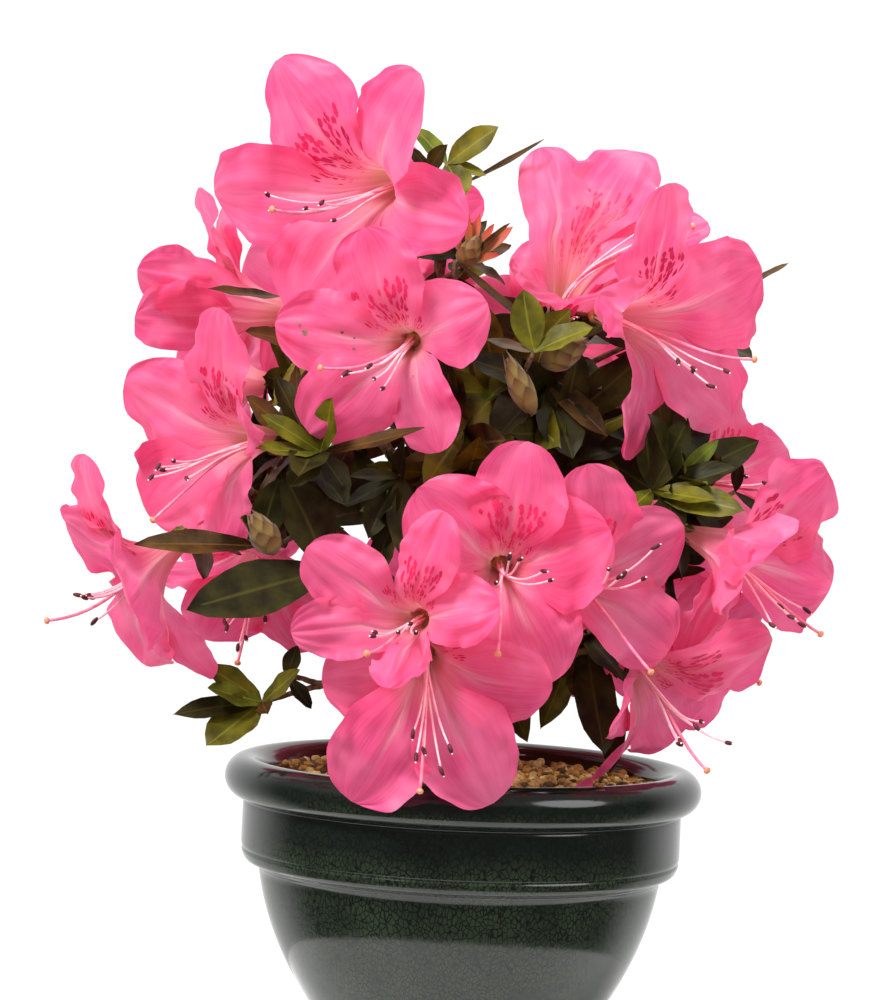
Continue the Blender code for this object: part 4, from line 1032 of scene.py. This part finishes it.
def leaf_finish(kind):
    """Leathery evergreen leaf under fine hairs: blotched half-gloss, paler midrib, sunk side veins.

    It mirrors little, as its hairs break up the reflection of a white room.
    """
    dark, light, rib, roughness = LEAF_TONES[kind]
    made, tree, shader, spot = new_material(kind + "_leaf")
    _, side, along = grown_place(tree)
    # blotches about 6 mm wide, and seven side veins on each half that run towards the tip
    blotches = add(tree, "ShaderNodeTexNoise", {"Vector": spot, "Scale": 160.0, "Detail": 4.0}).outputs[0]
    slanted = add(tree, "ShaderNodeMath", {0: along, 1: side}, operation="SUBTRACT").outputs[0]
    wave = add(tree, "ShaderNodeMath", {0: slanted, 1: 44.0}, operation="MULTIPLY").outputs[0]
    wave = add(tree, "ShaderNodeMath", {0: wave}, operation="SINE").outputs[0]
    height = add(tree, "ShaderNodeMath", {0: blotches, 1: 2.0, 2: wave}, operation="MULTIPLY_ADD").outputs[0]
    relief = add(tree, "ShaderNodeBump", {"Height": height, "Strength": 0.05, "Distance": 0.0002})
    colour = layered(tree, dark, (light, (blotches, 0.35, 0.65, 0, 1)), (rib, (side, 0.05, 0, 0, 0.7)))
    feed(tree, shader, {"Base Color": colour, "Normal": relief.outputs[0], "Roughness": roughness,
                        "IOR": 1.40, "Specular IOR Level": 0.2})
    return made


def bud_finish(name, root, middle, tip):
    """Bud scale: dry and downy, and shaded from its root over its middle to its tip."""
    made, tree, shader, _ = new_material(name)
    along = grown_place(tree)[2]
    colour = layered(tree, root, (middle, (along, 0.1, 0.5, 0, 1)), (tip, (along, 0.5, 0.95, 0, 1)))
    feed(tree, shader, {"Base Color": colour, "Roughness": 0.6, "IOR": 1.42, "Sheen Weight": 0.2})
    return made


def plain_finish(name):
    """Plain tissue, soil or stone: two close tones dealt by noise, which also gives its fine relief."""
    low, high, roughness, grains_a_metre, depth = PLAIN_TONES[name]
    made, tree, shader, spot = new_material(name)
    grain = add(tree, "ShaderNodeTexNoise", {"Vector": spot, "Scale": grains_a_metre, "Detail": 5.0,
                                             "Roughness": 0.6}).outputs[0]
    relief = add(tree, "ShaderNodeBump", {"Height": grain, "Strength": 0.6, "Distance": depth})
    feed(tree, shader, {"Base Color": layered(tree, low, (high, (grain, 0.35, 0.65, 0, 1))),
                        "Normal": relief.outputs[0], "Roughness": roughness, "IOR": 1.42})
    return made


def glaze_finish():
    """Dark green crackle glaze over stoneware, fired glossy.

    The eye sees green cells 1 to 2 mm across between near-black lines, fading to plain black on the upper
    collar, red-brown where the glaze runs thin inside the rim, and bare clay under the foot.
    """
    made, tree, shader, spot = new_material("crackle_glazed_stoneware")
    warp = add(tree, "ShaderNodeTexNoise", {"Vector": spot, "Scale": 140.0, "Detail": 2.0}).outputs["Color"]
    shift = add(tree, "ShaderNodeVectorMath", {0: warp, 3: 0.0022}, operation="SCALE").outputs[0]
    moved = add(tree, "ShaderNodeVectorMath", {0: spot, 1: shift}).outputs[0]
    tall = add(tree, "ShaderNodeVectorMath", {0: moved, 1: (1.0, 1.0, 0.62)}, operation="MULTIPLY").outputs[0]
    cells = add(tree, "ShaderNodeTexVoronoi", {"Vector": tall, "Scale": 800.0},
                feature="DISTANCE_TO_EDGE").outputs[0]
    patches = add(tree, "ShaderNodeTexNoise", {"Vector": spot, "Scale": 55.0, "Detail": 4.0,
                                               "Roughness": 0.65}).outputs[0]
    # height over the foot and distance from the axis, in millimetres
    rise = add(tree, "ShaderNodeSeparateXYZ", {"Vector": spot}).outputs["Z"]
    flat = add(tree, "ShaderNodeVectorMath", {0: spot, 1: (1.0, 1.0, 0.0)}, operation="MULTIPLY").outputs[0]
    out = add(tree, "ShaderNodeVectorMath", {0: flat}, operation="LENGTH").outputs["Value"]
    rise, out = (add(tree, "ShaderNodeMath", {0: metres, 1: 1000.0}, operation="MULTIPLY").outputs[0]
                 for metres in (rise, out))
    # the crackle is strong on the bowl and the lower collar, weak above, and strong again in the band
    # under the rolled rim
    bowl, over, under = (
        add(tree, "ShaderNodeMapRange", {0: rise, 1: start, 2: full, 3: least}).outputs[0]
        for start, full, least in ((63.5, 57.0, 0.22), (69.5, 71.5, 0.0), (76.5, 73.5, 0.0)))
    rim = add(tree, "ShaderNodeMath", {0: over, 1: under}, operation="MULTIPLY").outputs[0]
    band = add(tree, "ShaderNodeMath", {0: bowl, 1: rim}, operation="MAXIMUM").outputs[0]
    colour = layered(
        tree, "0b100e",
        ("2b3625", (band, 0, 1, 0, 1), (patches, 0.30, 0.66, 0.35, 1), (cells, 0.02, 0.13, 0, 1, "eased")),
        ("3a160d", (out, 60.5, 57.5, 0, 1), (rise, 60.0, 64.0, 0, 1)),
        ("6b4a36", (rise, 3.2, 2.4, 0, 1)))
    rough = add(tree, "ShaderNodeMapRange", {0: rise, 1: 3.2, 2: 2.4, 3: 0.13, 4: 0.85}).outputs[0]
    relief = add(tree, "ShaderNodeBump", {"Height": patches, "Strength": 0.12, "Distance": 0.0006})
    feed(tree, shader, {"Base Color": colour, "Normal": relief.outputs[0], "Roughness": rough, "IOR": 1.52})
    return made


def floor_finish():
    """Matt painted board, near white, with a faint unevenness that keeps it from looking empty."""
    made, tree, shader, spot = new_material("matt_white_board")
    grain = add(tree, "ShaderNodeTexNoise", {"Vector": spot, "Scale": 3.0, "Detail": 2.0}).outputs[0]
    feed(tree, shader, {"Base Color": layered(tree, "fafafa", ("fdfdfd", (grain, 0, 1, 0, 1))),
                        "Roughness": 0.55, "IOR": 1.45})
    return made


# The plant: its blooms, the routes of its twigs, and its whorls of leaves

rng = np.random.default_rng(SEED)
blooms_of = {name: [] for name in MASSES}
petal_trees = []
for name, mass in MASSES.items():
    leans = LEANS.get(name, (PLAIN_LEAN,) * len(mass["blooms"]))
    for row, lean in zip(mass["blooms"], leans):
        bloom = Bloom(row, lean, rng)
        petal_trees += bloom.fit(petal_trees)
        blooms_of[name].append(bloom)

stems = {name: stem_route(mass, TWIG_STEPS) for name, mass in MASSES.items()}
routes, whorls = [], []
for name, mass in MASSES.items():
    stem = stems[name]
    back = unit(stem[-2] - stem[-1])
    for bloom in blooms_of[name]:
        foot = bloom.throat - (CUP_DEPTH * bloom.size + STALK_LENGTH) * bloom.axis
        start = stem[-1] + rng.uniform(*TWIG_SUNK) * back
        routes.append(twig_route(start, foot, bloom.axis, rng))
        length = FOOT_LEAF if bloom.throat[2] < CROWN_TOP else TOP_LEAF
        whorls.append((foot + FOOT_RISE * bloom.axis, bloom.axis, FOOT_LEAVES, length, FOOT_TILT))
    for place, toward, count, length in mass["shoots"]:
        start = stem[-1] + rng.uniform(*TWIG_SUNK) * back
        path = twig_route(start, place, toward, rng)
        before, fork, after = path[7:10]
        tip = fork + SIDE_TWIG * unit(np.cross(after - before, rng.normal(0, 1, 3)))
        routes += [path, bezier(before, fork, tip, TWIG_STEPS)]
        whorls += [(place, toward, count, length, SHOOT_TILT),
                   (place, toward, TUFT_LEAVES, TUFT_LEAF * length, TUFT_TILT),
                   (tip, tip - fork + (after - before), SIDE_LEAVES, SIDE_LEAF * length, SIDE_TILT)]

shown_leaves = {kind: [] for kind in (*LEAF_TONES, "bract")}
for name, end, leaves in LEAVES_IN_VIEW:
    stem_tip, root = stems[name][-1], seen_at(*end)
    tips = [seen_at(*place) for *place, _, _ in leaves]
    arrival = root - stem_tip + 0.3 * (np.mean(tips, axis=0) - root)
    routes.append(twig_route(stem_tip, root, arrival, rng))
    for tip, (*_, width, kind) in zip(tips, leaves):
        face = (0.0, -0.8, 0.6) + rng.normal(0, 0.2, 3)
        shown_leaves[kind].append((root, tip - root, face, np.linalg.norm(tip - root), width))

# Trunk, boughs and twigs

trunk = shape_object("trunk_bark", trunk_grid(rng), plain_finish("old_bark"), closed=True)
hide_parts("trunk")
young_bark = plain_finish("young_bark")
bough_paths = [bough_route(mass, BOUGH_STEPS)[0] for mass in MASSES.values()]
boughs = shape_object("boughs", limb_grids(bough_paths, BOUGH_RADII, 14, 0.07, rng), young_bark,
                      closed=True)
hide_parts(*[name.replace("mass", "bough") for name in MASSES])
twig_grids = [limb_grids(list(stems.values()), STEM_RADII, 10, 0.06, rng),
              limb_grids(routes, TWIG_RADII, 10, 0.07, rng)]
twigs = shape_object("twigs", np.concatenate(twig_grids), young_bark, closed=True)
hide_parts(*MASSES)

# Petals with their spots and scars; those at the back have fewer points

near = [bloom for name, group in blooms_of.items() if "back" not in name for bloom in group]
far = [bloom for name, group in blooms_of.items() if "back" in name for bloom in group]
blooms = near + far
petal_pink = petal_finish()
for name, group, rows, columns in (("petals_front", near, 44, 30), ("petals_back", far, 34, 22)):
    grids, place, flush = petal_grids(group, rows, columns)
    shape_object(name, grids, petal_pink, place=place, flush=flush)
shape_object("petal_spots", spot_grids(blooms, rng), plain_finish("crimson_spot"))
scars = [lozenges(blooms[SCARRED], index, [u], [v], [SCAR_ROUND * half], [half])[0]
         for index, u, v, half in SCARS]
shape_object("petal_scars", scars, plain_finish("dry_scar"))

# Stamens and pistil, and the stalk and cup that carry each bloom

filaments, pistils = stamen_paths(blooms, rng)
stamen_ways, pistil_ways = (paths[:, -1] - paths[:, -3] for paths in (filaments, pistils))
anther_ways = unit(stamen_ways) + rng.normal(0, 0.3, stamen_ways.shape)
pores = filaments[:, -1] + 0.48 * ANTHER_LENGTH * unit(anther_ways)
axes, ups, rights = (np.array([getattr(bloom, way) for bloom in blooms]) for way in ("axis", "up", "right"))
sizes = np.array([bloom.size for bloom in blooms])
cups = np.array([bloom.throat for bloom in blooms]) - CUP_DEPTH * sizes[:, None] * axes
stalks = [bezier(cup - (STALK_LENGTH + 1) * axis, cup - 4 * axis, cup + axis, np.linspace(0, 1, 8))
          for cup, axis in zip(cups, axes)]
for name, grids, tissue in (
        ("filaments", tubes(filaments, np.linspace(*FILAMENT_RADII, STAMEN_POINTS), 8), "pink_filament"),
        ("styles", tubes(pistils, np.linspace(*STYLE_RADII, STAMEN_POINTS), 8), "pink_style"),
        ("anthers", beads(filaments[:, -1], anther_ways, ANTHER_LENGTH, ANTHER_RADIUS), "maroon_anther"),
        ("anther_pores", beads(pores, anther_ways, PORE_LENGTH, PORE_RADIUS), "cream_pore"),
        ("stigmas", beads(pistils[:, -1], pistil_ways, STIGMA_LENGTH, STIGMA_RADIUS), "coral_stigma"),
        ("pedicels", tubes(stalks, STALK_RADIUS, 8), "green_stalk"),
        # the cups' pale tan is painted light where they show at the foot of the tube
        ("flower_cups", beads(cups + 0.8 * axes, axes, CUP_LENGTH * sizes, CUP_RADIUS, rows=9, sides=12),
         "flower_cup_painted_light")):
    shape_object(name, grids, plain_finish(tissue), closed=True)

# Leaves: sepals under each bloom, the whorls of the source's rule, and those that the photograph shows

leaf_finishes = {kind: leaf_finish(kind) for kind in LEAF_TONES}
outward = spun(np.arange(PETALS) * 0.4 * math.pi + 0.3, ups[:, None], rights[:, None])
sepals = (cups[:, None] + 1.4 * outward, axes[:, None] + 0.45 * outward, outward)
grids, place = leaf_grids(*(part.reshape(-1, 3) for part in sepals), SEPAL_LENGTH, SEPAL_WIDTH, rng,
                          rows=7)
shape_object("sepals", grids, leaf_finishes["young"], place=place)

grown_leaves = {kind: [] for kind in LEAF_TONES}
for top, direction, count, length, tilt in whorls:
    kind = list(LEAF_TONES)[rng.choice(len(LEAF_TONES), p=LEAF_SHARES)] if tilt > TUFT_TILT else "young"
    grown_leaves[kind].append(whorl(top, direction, count, length, tilt, rng))
for kind, finish in leaf_finishes.items():
    roots, ways, faces, lengths = (np.concatenate(part) for part in zip(*grown_leaves[kind]))
    widths = lengths * rng.uniform(*LEAF_SHAPE, len(lengths))
    grids, place = leaf_grids(roots, ways, faces, lengths, widths, rng)
    clear = [not cuts(search_tree(grid), petal_trees) for grid in grids]
    shown, _ = leaf_grids(*zip(*shown_leaves[kind]), rng, droops=SHOWN_DROOP)
    shape_object("leaves_" + kind, np.concatenate([grids[clear], shown]), finish, place=place)

# Buds: overlapping scales on a core, and loose bracts

bud_parts = [bud_grids(*row) for row in BUDS]
shape_object("buds", np.concatenate([grids for grids, _ in bud_parts]),
             bud_finish("tan_bud_scale", "5e5424", "8a7436", "5c2e1a"), place=bud_parts[0][1])
grids, place = leaf_grids(*zip(*shown_leaves["bract"]), rng, droops=SHOWN_DROOP)
shape_object("bracts", grids, bud_finish("red_bract", "8c7a34", "a0542c", "a83424"), place=place)
cores = []
for foot, tip, radius in BUDS:
    foot, way = seen_at(*foot), seen_at(*tip) - seen_at(*foot)
    cores.append(beads([foot + 0.44 * way], [way], 0.84 * np.linalg.norm(way), 0.88 * radius,
                       rows=11, sides=14)[0])
shape_object("bud_cores", cores, young_bark, closed=True)

# The pot, its soil and the gravel on it

pot = shape_object("glazed_pot", turned_grid(pot_section(), POT_STEPS, POT_WANDER)[None], glaze_finish(),
                   closed=True)
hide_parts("pot")
damp_soil = plain_finish("damp_soil")
for material_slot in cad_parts["soil"].material_slots:
    material_slot.material = damp_soil
grains = granule_grids(rng)
tones = rng.integers(0, 3, len(grains))
for number, tone in enumerate(("tan", "ochre", "brown")):
    shape_object("gravel_" + tone, grains[tones == number], plain_finish("fired_clay_" + tone),
                 closed=True)

# Floor, lights, white surroundings and camera

turn = np.arange(FLOOR_STEPS) * 2 * math.pi / FLOOR_STEPS
ring = np.linspace(0.0, FLOOR_RADIUS, FLOOR_RINGS)[:, None] * MM
disc = np.stack([ring * np.cos(turn), ring * np.sin(turn), 0 * ring * turn], axis=-1)
board = bpy.data.meshes.new("studio_floor")
board.from_pydata(disc.reshape(-1, 3).tolist(), [],
                  grid_faces(FLOOR_RINGS, FLOOR_STEPS, closed=True).tolist())
board.materials.append(floor_finish())
studio = bpy.data.objects.new("studio_floor", board)
bpy.context.scene.collection.objects.link(studio)

for name, place, size, power in LIGHTS:
    lamp = bpy.data.lights.new(name, "AREA")
    lamp.shape = "DISK"
    lamp.size = size
    lamp.energy = power
    holder = bpy.data.objects.new(name, lamp)
    toward = Vector(LIT_POINT) * MM - Vector(place)
    holder.matrix_world = Matrix.Translation(place) @ toward.to_track_quat("-Z", "Y").to_matrix().to_4x4()
    bpy.context.scene.collection.objects.link(holder)

# The camera sees plain white all round. What glaze and leaves mirror is dim in front at eye level, brighter
# above and white behind, so that glaze stays dark where it faces the front and pales at its sides.
world = bpy.data.worlds.new("pale_studio")
world.use_nodes = True
studio_tree = world.node_tree
background = studio_tree.nodes["Background"]
direction = add(studio_tree, "ShaderNodeTexCoord").outputs["Generated"]
_, depth, rise = add(studio_tree, "ShaderNodeSeparateXYZ", {"Vector": direction}).outputs
dome = add(studio_tree, "ShaderNodeMapRange", {0: rise, 1: 0.20, 2: 0.55, 3: EYE_LEVEL_LIGHT, 4: DOME_LIGHT},
           interpolation_type="SMOOTHSTEP")
backdrop = add(studio_tree, "ShaderNodeMapRange", {0: depth, 1: 0.0, 2: 0.7}, interpolation_type="SMOOTHSTEP")
dome = add(studio_tree, "ShaderNodeMath", {0: dome.outputs[0], 1: backdrop.outputs[0]}, operation="MAXIMUM")
paths = add(studio_tree, "ShaderNodeLightPath").outputs
soft = add(studio_tree, "ShaderNodeMix", {0: paths["Is Glossy Ray"], 2: SOFT_LIGHT, 3: dome.outputs[0]})
strength = add(studio_tree, "ShaderNodeMix", {0: paths["Is Camera Ray"], 2: soft.outputs[0],
                                                 3: BACKDROP_LIGHT})
background.inputs["Color"].default_value = (1.0, 1.0, 1.0, 1.0)
studio_tree.links.new(strength.outputs[0], background.inputs["Strength"])
bpy.context.scene.world = world
bpy.context.scene.view_settings.view_transform = "Standard"

lens = bpy.data.cameras.new("camera")
lens.sensor_fit = "HORIZONTAL"
lens.sensor_width = SENSOR_WIDTH
lens.lens = SENSOR_WIDTH * FOCAL_PIXELS / PHOTO_WIDTH
lens.clip_start = 0.05
lens.clip_end = 20.0
camera = bpy.data.objects.new("camera", lens)
camera.matrix_world = Matrix.Translation(Vector(CAMERA_PLACE) * MM) @ CAMERA_TURN.to_4x4()
bpy.context.scene.collection.objects.link(camera)
bpy.context.scene.camera = camera
